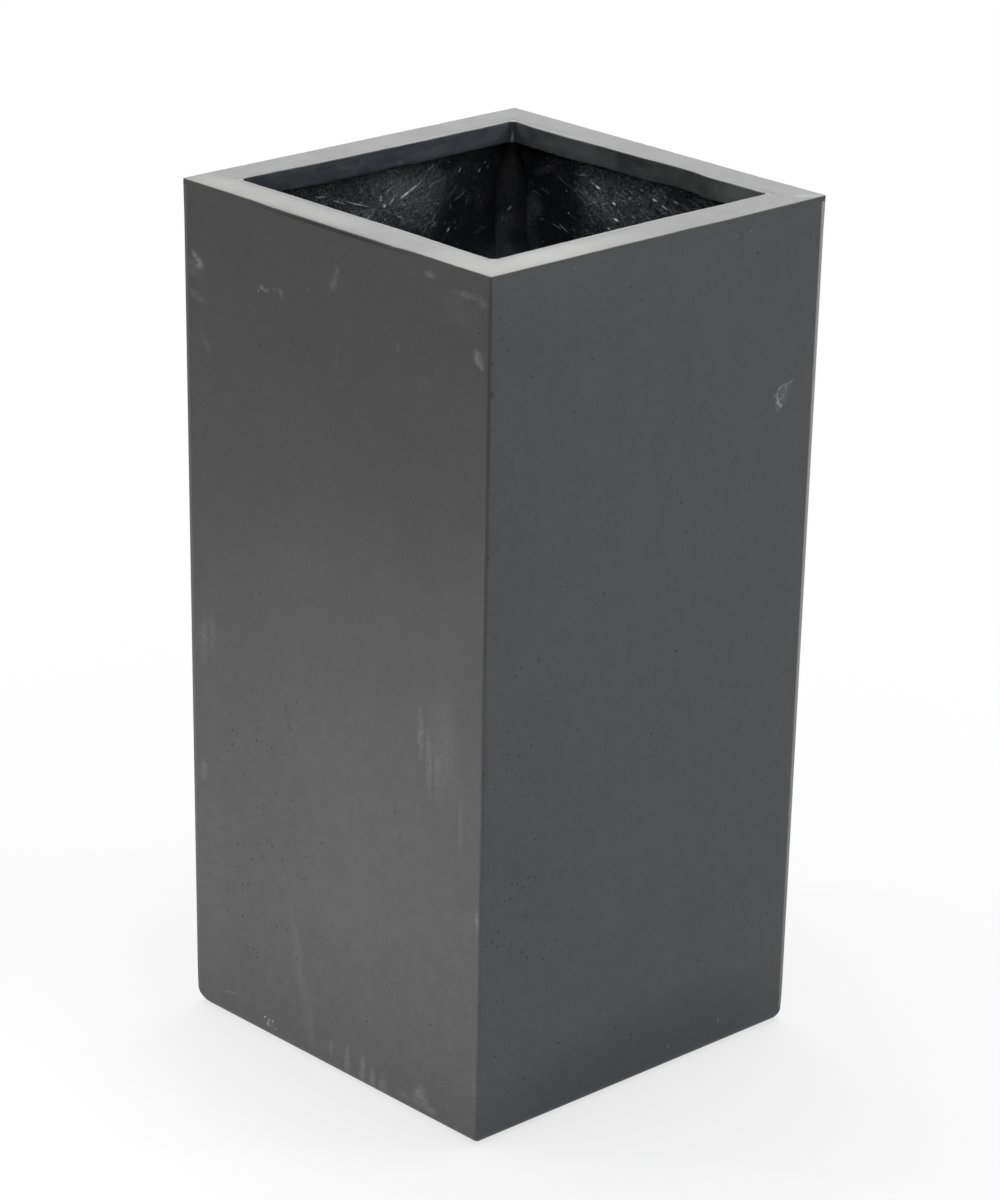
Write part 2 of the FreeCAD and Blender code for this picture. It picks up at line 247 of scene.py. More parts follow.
class Graph:
    """A short way to write a material's nodes."""

    def __init__(self, name):
        self.material = bpy.data.materials.new(name)
        self.material.use_nodes = True
        self.nodes = self.material.node_tree.nodes
        self.links = self.material.node_tree.links
        self.shader = self.nodes["Principled BSDF"]
        coordinates = self.add("ShaderNodeTexCoord").outputs
        self.place = coordinates["Object"]
        self.x, self.y, self.z = self.split(self.place)
        self.out_x, self.out_y, self.up = self.split(coordinates["Normal"])

    def add(self, kind, inputs=(), **settings):
        node = self.nodes.new(kind)
        for key, setting in settings.items():
            setattr(node, key, setting)
        for key, source in dict(inputs).items():
            self.feed(node.inputs[key], source)
        return node

    def feed(self, socket, source):
        if isinstance(source, bpy.types.NodeSocket):
            self.links.new(source, socket)
        else:
            socket.default_value = source

    def set(self, **inputs):
        """Sets the shader's own sockets; an underscore in a name stands for a space."""
        for key, source in inputs.items():
            self.feed(self.shader.inputs[key.replace("_", " ")], source)

    def math(self, operation, *values):
        return self.add("ShaderNodeMath", enumerate(values), operation=operation).outputs[0]

    def vector(self, operation, *values):
        return self.add("ShaderNodeVectorMath", enumerate(values), operation=operation).outputs

    def times(self, *values):
        result = values[0]
        for value in values[1:]:
            result = self.math("MULTIPLY", result, value)
        return result

    def plus(self, *values):
        result = values[0]
        for value in values[1:]:
            result = self.math("ADD", result, value)
        return result

    def ramp(self, value, low, high, start=0.0, end=1.0):
        """start below low, end above high and a smooth change between."""
        inputs = enumerate((value, low, high, start, end))
        return self.add("ShaderNodeMapRange", inputs, interpolation_type="SMOOTHSTEP").outputs[0]

    def split(self, vector):
        return self.add("ShaderNodeSeparateXYZ", {"Vector": vector}).outputs

    def noise(self, size, detail=2.0, roughness=0.5, turn=(0, 0, 0)):
        """Noise of about 0 to 1 with features of the given size, one number or one for each turned axis."""
        sizes = size if isinstance(size, tuple) else (size, size, size)
        turned = self.add("ShaderNodeMapping", {"Vector": self.place, "Rotation": turn}).outputs[0]
        place = self.vector("MULTIPLY", turned, [1 / size for size in sizes])[0]
        inputs = {"Vector": place, "Scale": 1.0, "Detail": detail, "Roughness": roughness}
        return self.add("ShaderNodeTexNoise", inputs).outputs["Fac"]

    def mix(self, factor, first, second, blend="MIX"):
        node = self.add("ShaderNodeMix", data_type="RGBA", blend_type=blend)
        self.feed(node.inputs[0], factor)
        for socket, source in zip((node.inputs[6], node.inputs[7]), (first, second)):
            self.feed(socket, source if isinstance(source, bpy.types.NodeSocket) else (*source, 1))
        return node.outputs[2]

    def shade(self, value):
        """A grey colour from a value."""
        return self.add("ShaderNodeCombineColor", {0: value, 1: value, 2: value}).outputs[0]

    def tinted(self, colour, tone):
        """A colour made lighter or darker by a value."""
        return self.mix(1.0, colour, self.shade(tone), "MULTIPLY")

    def bump(self, height, distance):
        return self.add("ShaderNodeBump", {"Height": height, "Distance": distance}).outputs[0]

    def plane(self, first, second, wobble=0.8 * MM):
        """A flat place from two coordinates, shaken a little so that marks on it have ragged edges."""
        shake = self.add("ShaderNodeTexNoise", {"Vector": self.place, "Scale": 1 / (5 * MM), "Detail": 3.0})
        middle = self.vector("SUBTRACT", shake.outputs["Color"], (0.5, 0.5, 0.5))[0]
        moved = self.vector("MULTIPLY", middle, (wobble * 4,) * 3)[0]
        flat = self.add("ShaderNodeCombineXYZ", {0: first, 1: second}).outputs[0]
        return self.vector("ADD", flat, moved)[0]

    def face(self, side, wobble=0.8 * MM):
        """The plane of a side's face: along it and up."""
        return self.plane(self.x if side in ("front", "back") else self.y, self.z, wobble)

    def spots(self, plane, marks):
        """The strongest of some soft ovals, (along, level, length, width, angle, strength) in millimetres."""
        total = 0.0
        for along, level, length, width, angle, strength in marks:
            inputs = {
                "Vector": plane,
                "Location": (along * MM, level * MM, 0),
                "Rotation": (0, 0, math.radians(angle)),
                "Scale": (length * MM / 2, width * MM / 2, 10),
            }
            oval = self.add("ShaderNodeMapping", inputs, vector_type="TEXTURE").outputs[0]
            reach = self.vector("LENGTH", oval)["Value"]
            total = self.math("MAXIMUM", total, self.ramp(reach, 0.2, 1.25, strength, 0.0))
        return total


def strokes(points, width, strength):
    """Ovals for spots() along a line of points."""
    marks = []
    for (a, b), (c, d) in zip(points, points[1:]):
        length, angle = math.hypot(c - a, d - b), math.degrees(math.atan2(d - b, c - a))
        marks.append(((a + c) / 2, (b + d) / 2, 1.35 * length + width, width, angle, strength))
    return marks


def scuffs(seed, count):
    """Rubbed marks of a used planter, at random places on a side."""
    rng = np.random.default_rng(seed)
    marks = []
    for _ in range(count):
        place = (rng.uniform(-170, 170), rng.uniform(30, 770))
        length = rng.uniform(3, 22)
        width = length * rng.uniform(0.2, 0.6)
        marks.append((*place, length, width, rng.uniform(0, 180), rng.uniform(0.04, 0.18)))
    return marks


# Marks on the faces that the photograph shows, and made-up ones on the others, for spots().
SCRATCH = [
    (166.2, 635.7), (159.9, 633.8), (154.5, 633.6), (149.2, 629.9), (148.6, 624.9), (150, 619.3),
    (154.4, 615.9),
]
SCRATCH_RETURN = [(159.9, 633.8), (158.6, 630.1), (158.2, 626.8), (154.5, 622.5), (150, 619.3)]
LIGHT_MARKS = {
    "front": [
        (-178, 727, 16, 12, -58, 0.50), (-184, 733, 12, 8, -50, 0.36), (-183, 722, 30, 22, 0, 0.14),
        (-180, 696, 32, 11, -16, 0.15), (-170, 655, 24, 10, -52, 0.11), (-97, 720, 3.4, 3.0, 0, 0.5),
        (-92, 724, 6, 5, 0, 0.55), (-86, 723, 12, 6, 0, 0.22), (-66, 725, 13, 5.5, -54, 0.32),
        (-74, 727, 8, 4, 0, 0.10), (-30, 736, 7, 6, 0, 0.09), (7, 757, 22, 8, 70, 0.17),
        (3, 749, 14, 12, 60, 0.15), (6, 766, 26, 3, 88, 0.06), (126, 785, 17, 7, 5, 0.28),
        (172, 778, 44, 8, 2, 0.17), (190, 775, 16, 9, -10, 0.13), (186, 727, 17, 12, -60, 0.36),
        (190.5, 720, 7, 6, 0, 0.36), (165, 760, 60, 34, -20, 0.045), (7, 680, 50, 5, 88, 0.05),
        (86, 712, 10, 4, 80, 0.12), (120, 690, 26, 10, 30, 0.03), (118, 372, 55, 11, 90, 0.17),
        (129, 350, 70, 11, 92, 0.15), (140, 345, 60, 11, 88, 0.13), (148, 370, 110, 46, 90, 0.07),
        (-40, 480, 230, 100, 70, 0.012), (170, 300, 80, 8, 90, 0.08), (-178, 372, 50, 15, 88, 0.12),
        (-166, 380, 46, 13, 88, 0.09), (-180, 241, 20, 12, 85, 0.16), (-44, 84, 170, 15, -78, 0.055),
        (-30, 40, 90, 11, -82, 0.05), (-1, 22, 26, 8, 85, 0.10), (21, 19, 34, 9, 85, 0.16),
        (42, 17, 34, 10, 85, 0.20), (56, 14, 28, 10, 85, 0.17), (70, 11, 24, 14, 85, 0.15),
        (-146, 26, 23, 1.6, 13, 0.26), (-95, 19, 3.6, 2.8, 40, 1.0), (-91, 14, 5, 2.6, 80, 0.9),
        (-89, 18, 4, 2.8, 80, 1.0), (-84, 19, 3.4, 2.6, 0, 1.0), (-88, 15, 14, 9, 20, 0.14),
        (-104, 24, 3, 2.2, 0, 0.4), (-80, 12, 3, 2, 0, 0.5), (100, 14, 30, 10, 0, 0.10),
        (119, 21, 26, 18, 60, 0.20), (126, 17, 16, 12, 20, 0.22), (134, 12, 18, 9, 0, 0.18),
        (192, 218, 26, 6, 90, 0.24), (190, 60, 40, 4, 90, 0.08), (196, 14, 3, 3, 0, 0.9),
    ],
    "right": [
        *strokes(SCRATCH, 3.1, 0.60), *strokes(SCRATCH_RETURN, 2.8, 0.55),
        (149.8, 618.8, 7.5, 6.5, -50, 1.0), (152.4, 616.2, 9, 6, -40, 0.85), (150.5, 614, 10, 7, -40, 0.28),
        (157, 626, 30, 18, 60, 0.12), (146, 626.2, 6, 2.4, 20, 0.4), (105.8, 784, 3.8, 3.2, 0, 0.26),
        (88, 783, 4.4, 4.4, 0, 0.18), (-104, 790, 3.4, 2.6, 0, 0.4), (-40, 560, 3, 3, 0, 0.3),
        (-105, 505, 3, 3, 0, 0.25), (43, 21, 3.8, 3.4, 0, 1.0), (108, 27, 9, 3, 100, 0.3),
        (114, 30, 3, 2.6, 0, 0.3), (60, 740, 120, 60, -20, 0.02),
    ],
    "back": scuffs(5, 14),
    "left": scuffs(6, 14),
}
# Dark marks. Painted shade among them: the broad ovals over the front face's upper half, and the wide band
# along the right face's foot.
DARK_MARKS = {
    "front": [
        (-62, 338, 14, 3, 100, 0.45), (-59, 322, 12, 2.6, 75, 0.50), (-60, 330, 44, 8, 92, 0.10),
        (40, 640, 330, 120, -28, 0.09), (130, 545, 260, 100, -60, 0.06), (-130, 745, 180, 90, -20, 0.05),
        (-120, 250, 420, 110, 92, 0.05), (-100, 380, 200, 60, 92, 0.05), (150, 470, 120, 50, 90, 0.05),
    ],
    "right": [
        (-196, 725, 5, 4, 90, 0.6), (-196, 554, 5, 4, 90, 0.6), (-196, 357, 6, 4, 90, 0.6),
        (-196, 319, 4, 4, 90, 0.6), (-196, 668, 4, 3, 90, 0.5), (-183, 757, 3.6, 3, 0, 0.5),
        (-186, 560, 3.6, 3, 0, 0.5), (-188, 480, 3.6, 3, 0, 0.5), (10, 15, 460, 120, 3, 0.34),
        (-196, 698, 6, 5, 90, 0.75), (-186, 744, 4, 4, 0, 0.5), (-190, 700, 3.6, 3.6, 0, 0.45),
        (-189, 763, 4, 4, 0, 0.4),
    ],
    "back": [(-40, 300, 120, 60, 20, 0.08)],
    "left": [(50, 520, 140, 70, -30, 0.08)],
}
PITTED = {
    "front": [(-95, 260, 380, 130, 90, 1.0), (-100, 120, 180, 120, 90, 1.0), (100, 320, 200, 60, 90, 0.4)],
    "right": [(-150, 260, 460, 100, 90, 1.0), (-40, 60, 160, 60, 0, 0.5)],
    "back": [(60, 200, 300, 160, 90, 1.0)],
    "left": [(-80, 350, 380, 120, 90, 1.0)],
}
RIM_LIGHT = [
    (182, -184, 150, 60, 0, 0.14), (184, -120, 200, 44, 90, 0.18), (108, 172, 6, 2, 0, 0.3),
    (192, 186, 40, 12, 60, 0.14), (-125, -184, 190, 40, 0, 0.14), (-40, -182, 170, 36, 0, 0.14),
]
# Painted shade, for spots():
PAINTED_GROOVE_SHADE = [(0, 796.6, 225, 4.2, 0, 1.0)]  # in the line on the front rail's outer edge
RIM_DARK = [(155, 166, 17, 1.8, -75, 0.55), (60, -184, 90, 20, 0, 0.03), (-184, 60, 140, 20, 90, 0.03)]
# Painted shade and light by height: two heights, and the tone below the first and above the second. The front
# is paler at its foot and darker at its top; the other faces are a little darker at their top.
PAINTED_SHADE_BY_HEIGHT = {"front": (0.08, 0.64, 1.05, 0.70)}
PAINTED_SHADE_BY_HEIGHT_PLAIN = (0.40, 0.80, 1.0, 0.93)
# Painted shade in the front right and back left upright corners:
CORNER_PAINTED_SHADE = (0.25, 0.60, 0.0, 0.22)  # two heights, and how much darker the corner is at them
FACING_UP = (0.55, 0.95)  # the upward part of the normal, where the tops' look starts and is full
FOOT_MARKS_TOP = 40  # in millimetres
PIT_SPACING = 7 * MM

# The top's grey is paler partly as chalk and partly as painted light from above.
STONE_PLAIN, TOP_GREY_CHALK_AND_LIGHT = (0.0630, 0.0631, 0.0630), (0.215, 0.2155, 0.215)
STONE = {"right": (0.0640, 0.0660, 0.0710), "left": (0.0640, 0.0660, 0.0700)}
RUBBED, CHALK = (0.30, 0.30, 0.31), (0.62, 0.61, 0.58)
# A near-black for dark marks, also used for painted shade.
MARK_AND_PAINTED_SHADE_BLACK, STAIN = (0.010, 0.010, 0.011), (0.02, 0.02, 0.02)
# The pits' near-black, and the grey of the painted shade in the rail's line.
PIT, PAINTED_SHADE_GREY = (0.006, 0.006, 0.007), (0.006, 0.006, 0.006)
# The painted sheen along the upright edges at the back right and front left corners, and how far from them it
# starts and is full.
EDGE_SHEEN_PAINTED = {"right": (0.31, 0.31, 0.29), "front": (0.088, 0.088, 0.087)}
EDGE_SHEEN_BAND = (6.6 * MM, 4.4 * MM)


def stone_tone(g, side, clouds, patches, grain):
    """How light the grey is from place to place, as a share of its plain colour, with painted shade in two
    upright corners and painted shade and light by height.
    """
    tone = g.plus(
        g.ramp(clouds, 0.3, 0.7, 0.94, 1.06),
        g.ramp(patches, 0.25, 0.75, -0.06, 0.06),
        g.ramp(g.noise(12 * MM, 3.0, 0.65), 0.3, 0.7, -0.055, 0.055),
        g.ramp(g.noise(4 * MM, 3.0, 0.6), 0.3, 0.7, -0.045, 0.045),
        g.ramp(g.noise((20 * MM, 20 * MM, 400 * MM)), 0.3, 0.7, -0.018, 0.018),
        g.ramp(grain, 0.2, 0.8, -0.10, 0.10),
    )
    # Painted shade: the front right and back left upright corners darker, more so higher up, in broken
    # streaks.
    corner = g.ramp(g.times(g.out_x, g.out_y), -0.42, -0.05, 1.0, 0.0)
    broken = g.ramp(g.noise((1, 1, 35 * MM)), 0.35, 0.55, 0.45, 1.0)
    darker = g.times(corner, g.ramp(g.z, *CORNER_PAINTED_SHADE), broken)
    # Painted shade in the corners, and painted shade and light by height.
    return g.times(tone, g.math("SUBTRACT", 1.0, darker), g.ramp(g.z, *PAINTED_SHADE_BY_HEIGHT.get(side, PAINTED_SHADE_BY_HEIGHT_PLAIN)))


def painted_edge_sheen(g, side):
    """1 along a side's upright edge where a sheen is painted, less of it low down, and 0 away from it."""
    across = g.y if side == "right" else g.times(g.x, -1)
    low, high = (TRAY_HALF - band for band in EDGE_SHEEN_BAND)
    edge = g.ramp(g.plus(across, g.times(g.z, -TAPER)), low, high)
    return g.times(edge, g.ramp(g.z, 0.05, 0.45, 0.6, 0.95))


def foot_marks(g, colour, to_front, to_right):
    """The lowest marks of the front and right faces, carried on over the base's edge; the right face's
    painted shade along its foot is among them.
    """
    kinds = (("front", LIGHT_MARKS, to_front, RUBBED), ("right", DARK_MARKS, to_right, MARK_AND_PAINTED_SHADE_BLACK))
    for side, marks, share, paint in kinds:
        low = [mark for mark in marks[side] if mark[1] < FOOT_MARKS_TOP]
        colour = g.mix(g.times(g.spots(g.face(side), low), share), colour, paint)
    return colour


def face_marks(g, side, colour):
    """The rubbed marks, stains, painted shade and pinholes of a side's face."""
    face = g.face(side)
    blotch = g.times(
        g.ramp(g.noise(2.2 * MM, 3.0, 0.7), 0.35, 0.62, 0.35, 1.25),
        g.ramp(g.noise(7 * MM, 2.0, 0.6), 0.35, 0.6, 0.6, 1.15),
    )
    colour = g.mix(g.times(g.spots(face, LIGHT_MARKS[side]), blotch), colour, RUBBED)
    colour = g.mix(g.spots(face, DARK_MARKS[side]), colour, MARK_AND_PAINTED_SHADE_BLACK)
    return g.mix(pinholes(g, g.spots(face, PITTED[side])), colour, PIT)


def stone_top(g, side, grain):
    """The flat top, paler than the faces, partly as chalk and partly as painted light from above, with the
    rim's pale and dark marks.
    """
    brushed = g.ramp(g.noise(50 * MM, 4.0, 0.65), 0.25, 0.75, 0.90, 1.08)
    colour = g.tinted(TOP_GREY_CHALK_AND_LIGHT, g.plus(brushed, g.ramp(grain, 0.2, 0.8, -0.05, 0.05)))
    if side == "rim":
        flat = g.plane(g.x, g.y, 0.4 * MM)
        colour = g.mix(g.spots(flat, RIM_LIGHT), colour, CHALK)
        colour = g.mix(g.spots(flat, RIM_DARK), colour, STAIN)
    return colour


def stone_resin(side):
    """Matte grey moulded face: cloudy, faintly streaked upright, pitted and rubbed; paler on top, partly as
    chalk and partly as painted light; with painted shade by height and in two upright corners, and a painted
    sheen along two upright edges.
    """
    g = Graph(f"stone_resin_{side}")
    clouds, patches = g.noise(0.20, 3.0, 0.5), g.noise(45 * MM, 4.0, 0.6)
    grain = g.noise(1.5 * MM, 2.0, 0.6)
    to_front, to_right = g.ramp(g.out_y, -0.6, -0.2, 1.0, 0.0), g.ramp(g.out_x, 0.2, 0.6)
    tone = stone_tone(g, side, clouds, patches, grain)
    plain = STONE.get(side, STONE_PLAIN)
    if side == "rim":
        # The rail's front-facing edge carries on the front face's painted shade at its top.
        tone = g.times(tone, g.ramp(g.out_y, -0.7, -0.4, PAINTED_SHADE_BY_HEIGHT["front"][3] / PAINTED_SHADE_BY_HEIGHT_PLAIN[3], 1.0))
    if side == "base":
        # The base's front carries on the front face's painted light at its foot.
        tone = g.times(tone, g.ramp(to_front, 0, 1, 1.0, PAINTED_SHADE_BY_HEIGHT["front"][2]))
        plain = g.mix(to_right, STONE_PLAIN, STONE["right"])
    colour = g.tinted(plain, tone)
    # Painted sheen along one upright edge.
    if side in EDGE_SHEEN_PAINTED:
        colour = g.mix(painted_edge_sheen(g, side), colour, EDGE_SHEEN_PAINTED[side])
    if side in LIGHT_MARKS:
        colour = face_marks(g, side, colour)
    if side == "base":
        colour = foot_marks(g, colour, to_front, to_right)
    if side == "rim":
        # Painted shade in the line on the front rail's outer edge.
        groove_shade = g.times(g.spots(g.face("front", 0.1 * MM), PAINTED_GROOVE_SHADE), g.ramp(g.out_y, -0.7, -0.4, 1.0, 0.0))
        colour = g.mix(groove_shade, colour, PAINTED_SHADE_GREY)
    roughness = g.plus(g.ramp(patches, 0.25, 0.75, 0.50, 0.60), g.ramp(clouds, 0.3, 0.7, -0.03, 0.03))
    relief = g.plus(g.times(grain, 0.5), g.times(g.noise(7 * MM), 0.8))
    # Faces that look up take the top's paler grey, partly chalk and partly painted light from above.
    colour = g.mix(g.ramp(g.up, *FACING_UP), colour, stone_top(g, side, grain))
    g.set(Base_Color=colour, Roughness=roughness, Normal=g.bump(relief, 0.05 * MM), Specular_IOR_Level=0.32)
    return g.material


def pinholes(g, pitted):
    """Small dark pits, thick in the pitted places and few elsewhere."""
    spot = g.add("ShaderNodeCombineXYZ", {0: g.plus(g.x, g.y), 1: g.z}).outputs[0]
    inputs = {"Vector": spot, "Scale": 1 / PIT_SPACING}
    cells = g.add("ShaderNodeTexVoronoi", inputs, voronoi_dimensions="2D").outputs
    chance = g.split(cells["Color"])
    size = g.times(chance[1], chance[1], 0.10)
    hole = g.ramp(g.math("SUBTRACT", cells["Distance"], g.plus(size, 0.06)), 0.0, 0.05, 1.0, 0.0)
    region = g.plus(g.times(pitted, g.ramp(g.noise(30 * MM, 3.0, 0.6), 0.40, 0.62, 0.03, 0.42)), 0.012)
    return g.times(hole, g.math("LESS_THAN", chance[0], region), 0.80)


# Painted glints and painted haze of reflected light on the inside, for spots(): short pale dashes where
# strands catch the light, and broad faint ovals.
PAINTED_HIGHLIGHTS = {
    "left": [
        (10, 743.5, 5, 4, 0, 1.0), (6, 752, 6, 2, 70, 0.8), (14, 757, 7, 2.4, 60, 0.8),
        (44, 754.5, 26, 1.8, 24, 0.55), (36, 751, 18, 2.2, 24, 0.8), (20, 748, 12, 2, 50, 0.6),
        (-23, 751.5, 46, 1.6, -20, 0.4), (-44, 757, 16, 2, -20, 0.4), (-67, 766, 18, 2, -10, 0.35),
        (66, 771, 10, 2, 30, 0.35), (102, 762, 6, 1.8, 60, 0.30), (91, 707, 7, 2, 50, 0.5),
        (127, 758, 5, 1.8, 70, 0.25), (154, 725, 5, 2, 70, 0.3), (72, 722, 10, 1.8, 60, 0.3),
        (62, 712, 8, 1.8, 65, 0.3), (80, 690, 6, 2, 60, 0.4), (140, 668, 8, 2.4, 50, 0.5),
        (150, 664, 7, 2, 60, 0.45), (30, 730, 14, 2, -30, 0.3), (-10, 736, 14, 2, 40, 0.3),
        (-30, 742, 12, 2, 10, 0.3), (24, 735, 9, 1.8, -50, 0.35), (-4, 730, 9, 1.8, 75, 0.3),
        (-18, 764, 9, 1.8, -60, 0.3), (0, 766, 9, 1.8, 85, 0.3), (34, 741, 9, 1.8, -12, 0.35),
        (12, 745, 150, 66, 0, 0.07), (40, 752, 80, 40, 20, 0.05),
    ],
    "back": [
        (-54.5, 758.5, 10, 2.8, -15, 0.9), (-61, 761, 9, 3, -12, 0.35), (-32.5, 747.5, 6, 3.2, -15, 1.0),
        (20.5, 762, 8, 2.4, -8, 0.7), (32.5, 758, 8, 2.6, -18, 0.9), (30, 752, 6, 3, 10, 0.4),
        (-30, 732.5, 7, 3, -15, 0.9), (-12, 757, 8, 2.2, 20, 0.35), (2, 768, 8, 2, -12, 0.4),
        (-45, 745, 9, 2, 15, 0.3), (-70, 750, 9, 2, -25, 0.3), (-74, 766, 10, 2.2, 10, 0.25),
        (46, 766, 9, 2, -10, 0.3), (-40, 722, 7, 2.2, -30, 0.4), (12, 744, 9, 2, -25, 0.3),
        (-62, 742, 26, 2.2, 24, 0.22), (-20, 738, 8, 2, 35, 0.3), (-126, 760, 40, 9, 26, 0.035),
        (-140, 722, 30, 26, 30, 0.04), (-150, 700, 60, 26, 90, 0.04), (-10, 748, 150, 60, 0, 0.07),
        (20, 756, 90, 34, -8, 0.05), (-36, 736, 40, 26, 0, 0.06),
    ],
    "corner": [
        (158, 742, 70, 26, 90, 0.02), (160, 690, 60, 26, 90, 0.05), (166, 668, 8, 2.4, 60, 0.5),
        (161, 676, 7, 2, 70, 0.45), (164, 661, 6, 2, 80, 0.5), (158, 706, 7, 2, 60, 0.25),
        (163, 716, 6, 2, 70, 0.2),
    ],
}
# Resin and fibre greys, and the near-white of the painted glints.
RESIN, FIBRE, PAINTED_HIGHLIGHT = (0.013, 0.0136, 0.0162), (0.100, 0.104, 0.120), (0.90, 0.92, 0.97)
FIBRE_SIZE = (1.1 * MM, 1.1 * MM, 13 * MM)
FIBRE_TURNS = (0.3, 1.2, 2.0, 2.7)


def laminate(side):
    """Black resin over chopped strands, glossy and uneven, with painted glints and haze, painted light low on
    the walls, and painted shade under the return strips and in the back left corner.
    """
    g = Graph(f"laminate_{side}")
    fibre = 0.0
    for turn in FIBRE_TURNS:
        layer = g.noise(FIBRE_SIZE, turn=(turn, turn * 0.7, 0))
        fibre = g.math("MAXIMUM", fibre, g.ramp(layer, 0.54, 0.68))
    lumps = g.noise(6 * MM)
    dry = g.ramp(g.noise(40 * MM), 0.42, 0.68)
    smooth = g.times(g.ramp(g.x, -0.11, -0.05, 1.0, 0.0), g.ramp(g.y, 0.05, 0.11))  # the back left corner
    # The tone: painted shade darkens the back left corner above about 0.7 m and the band just under the
    # return strips; painted light makes the walls 3.2 times paler below 0.64 m, and 1.9 times below 0.5 m.
    tone = g.times(
        g.ramp(g.times(smooth, g.ramp(g.z, 0.68, 0.74)), 0, 1, 1.0, 0.60),
        g.ramp(g.z, 0.64, 0.705, 3.2, 1.0),
        g.ramp(g.z, 0.50, 0.60, 0.6, 1.0),
        g.ramp(g.z, 0.762, 0.779, 1.0, 0.45),
    )
    # Painted shade: the corner strip darker towards its top, down to 0.12 of its tone above 0.765 m.
    if side == "corner":
        tone = g.times(tone, g.ramp(g.z, 0.680, 0.765, 1.2, 0.12))
        g.set(Specular_IOR_Level=0.12)
    shown = g.times(fibre, g.ramp(dry, 0, 1, 0.25, 1.0), g.ramp(smooth, 0, 1, 1.0, 0.35))
    colour = g.tinted(g.mix(shown, RESIN, FIBRE), tone)
    # Painted glints and painted haze of reflected light.
    if side in PAINTED_HIGHLIGHTS:
        broken = g.ramp(g.noise(2.2 * MM, 3.0, 0.7), 0.36, 0.60, 0.25, 1.2)
        colour = g.mix(g.times(g.spots(g.face(side, 0.5 * MM), PAINTED_HIGHLIGHTS[side]), broken), colour, PAINTED_HIGHLIGHT)
    height = g.plus(g.times(fibre, 0.25), g.times(lumps, 0.7))
    low, high = (0.28, 0.42) if side == "corner" else (0.10, 0.20)
    g.set(Base_Color=colour, Roughness=g.ramp(lumps, 0.3, 0.7, low, high), Normal=g.bump(height, 0.40 * MM))
    return g.material


# Paler and darker places of the return strips, for spots(). The two long thin ovals along the left strip's
# top edge are a painted highlight.
LIP_LIGHT = {
    "back": [
        (-150, 792, 30, 16, -35, 0.16), (-75, 792, 90, 22, 0, 0.13), (102, 790, 14, 1.8, 88, 0.55),
        (-28, 792, 12, 20, 0, 0.10), (40, 794, 60, 12, 0, 0.05), (75, 790, 24, 16, 0, 0.07),
        (136, 790, 104, 34, 0, 0.42),
    ],
    "left": [
        (23, 784, 9, 7, 0, 0.22), (-75, 799, 130, 1.8, 0, 0.24), (-75, 796, 120, 1.4, 0, 0.16),
        (-120, 788, 46, 9, 8, 0.06), (-40, 790, 30, 6, -12, 0.08), (70, 790, 44, 7, 10, 0.07),
        (110, 787, 26, 8, -15, 0.07), (150, 790, 30, 24, 0, 0.06),
    ],
    "front": [(-60, 788, 70, 9, 6, 0.08), (60, 791, 50, 8, -8, 0.07)],
    "right": [(-90, 790, 50, 8, -10, 0.08), (70, 787, 60, 9, 8, 0.07)],
}
LIP_DARK = {
    "back": [(-14, 788, 30, 24, 0, 0.34), (-112, 784, 60, 12, 0, 0.25), (20, 782, 80, 8, 0, 0.2)],
    "left": [(-130, 788, 110, 26, 0, 0.35), (0, 781, 320, 6, 0, 0.3)],
    "front": [(10, 788, 40, 14, 0, 0.15)],
    "right": [(-10, 788, 40, 14, 0, 0.15)],
}
LIP_PLAIN, LIP_TINT = (0.058, 0.059, 0.061), {"left": (0.052, 0.055, 0.066)}
LIP_WORN_AND_HIGHLIGHT, LIP_STAIN = (0.27, 0.28, 0.28), (0.016, 0.016, 0.018)
PASTE, PASTE_PALER, PASTE_JOINT = (0.12, 0.12, 0.125), (0.16, 0.16, 0.16), (0.045, 0.046, 0.05)
RUBBER, RUBBER_DUSTY = (0.018, 0.018, 0.018), (0.045, 0.044, 0.042)


def lip_resin(side):
    """The return strip's darker, smoother grey, with brushed and rubbed patches, and a painted highlight
    along the left strip's top edge.
    """
    g = Graph(f"lip_resin_{side}")
    patches = g.noise((30 * MM, 30 * MM, 12 * MM), 4.0, 0.6)
    grain = g.noise(1.4 * MM, 2.0, 0.6)
    tone = g.plus(g.ramp(patches, 0.3, 0.7, 0.80, 1.20), g.ramp(grain, 0.2, 0.8, -0.06, 0.06))
    face = g.face(side, 0.5 * MM)
    colour = g.tinted(LIP_TINT.get(side, LIP_PLAIN), tone)
    # Rubbed patches, and a painted highlight along the left strip's top edge.
    colour = g.mix(g.spots(face, LIP_LIGHT[side]), colour, LIP_WORN_AND_HIGHLIGHT)
    colour = g.mix(g.spots(face, LIP_DARK[side]), colour, LIP_STAIN)
    # The strip's top: partly chalk, partly painted light from above.
    top = g.tinted(TOP_GREY_CHALK_AND_LIGHT, g.ramp(patches, 0.2, 0.8, 0.92, 1.06))
    flat_top = g.ramp(g.up, *FACING_UP)
    roughness = g.plus(g.ramp(patches, 0.3, 0.7, 0.38, 0.52), g.times(flat_top, 0.08))
    g.set(Base_Color=g.mix(flat_top, colour, top), Roughness=roughness)
    g.set(Normal=g.bump(grain, 0.04 * MM), Specular_IOR_Level=0.35)
    return g.material


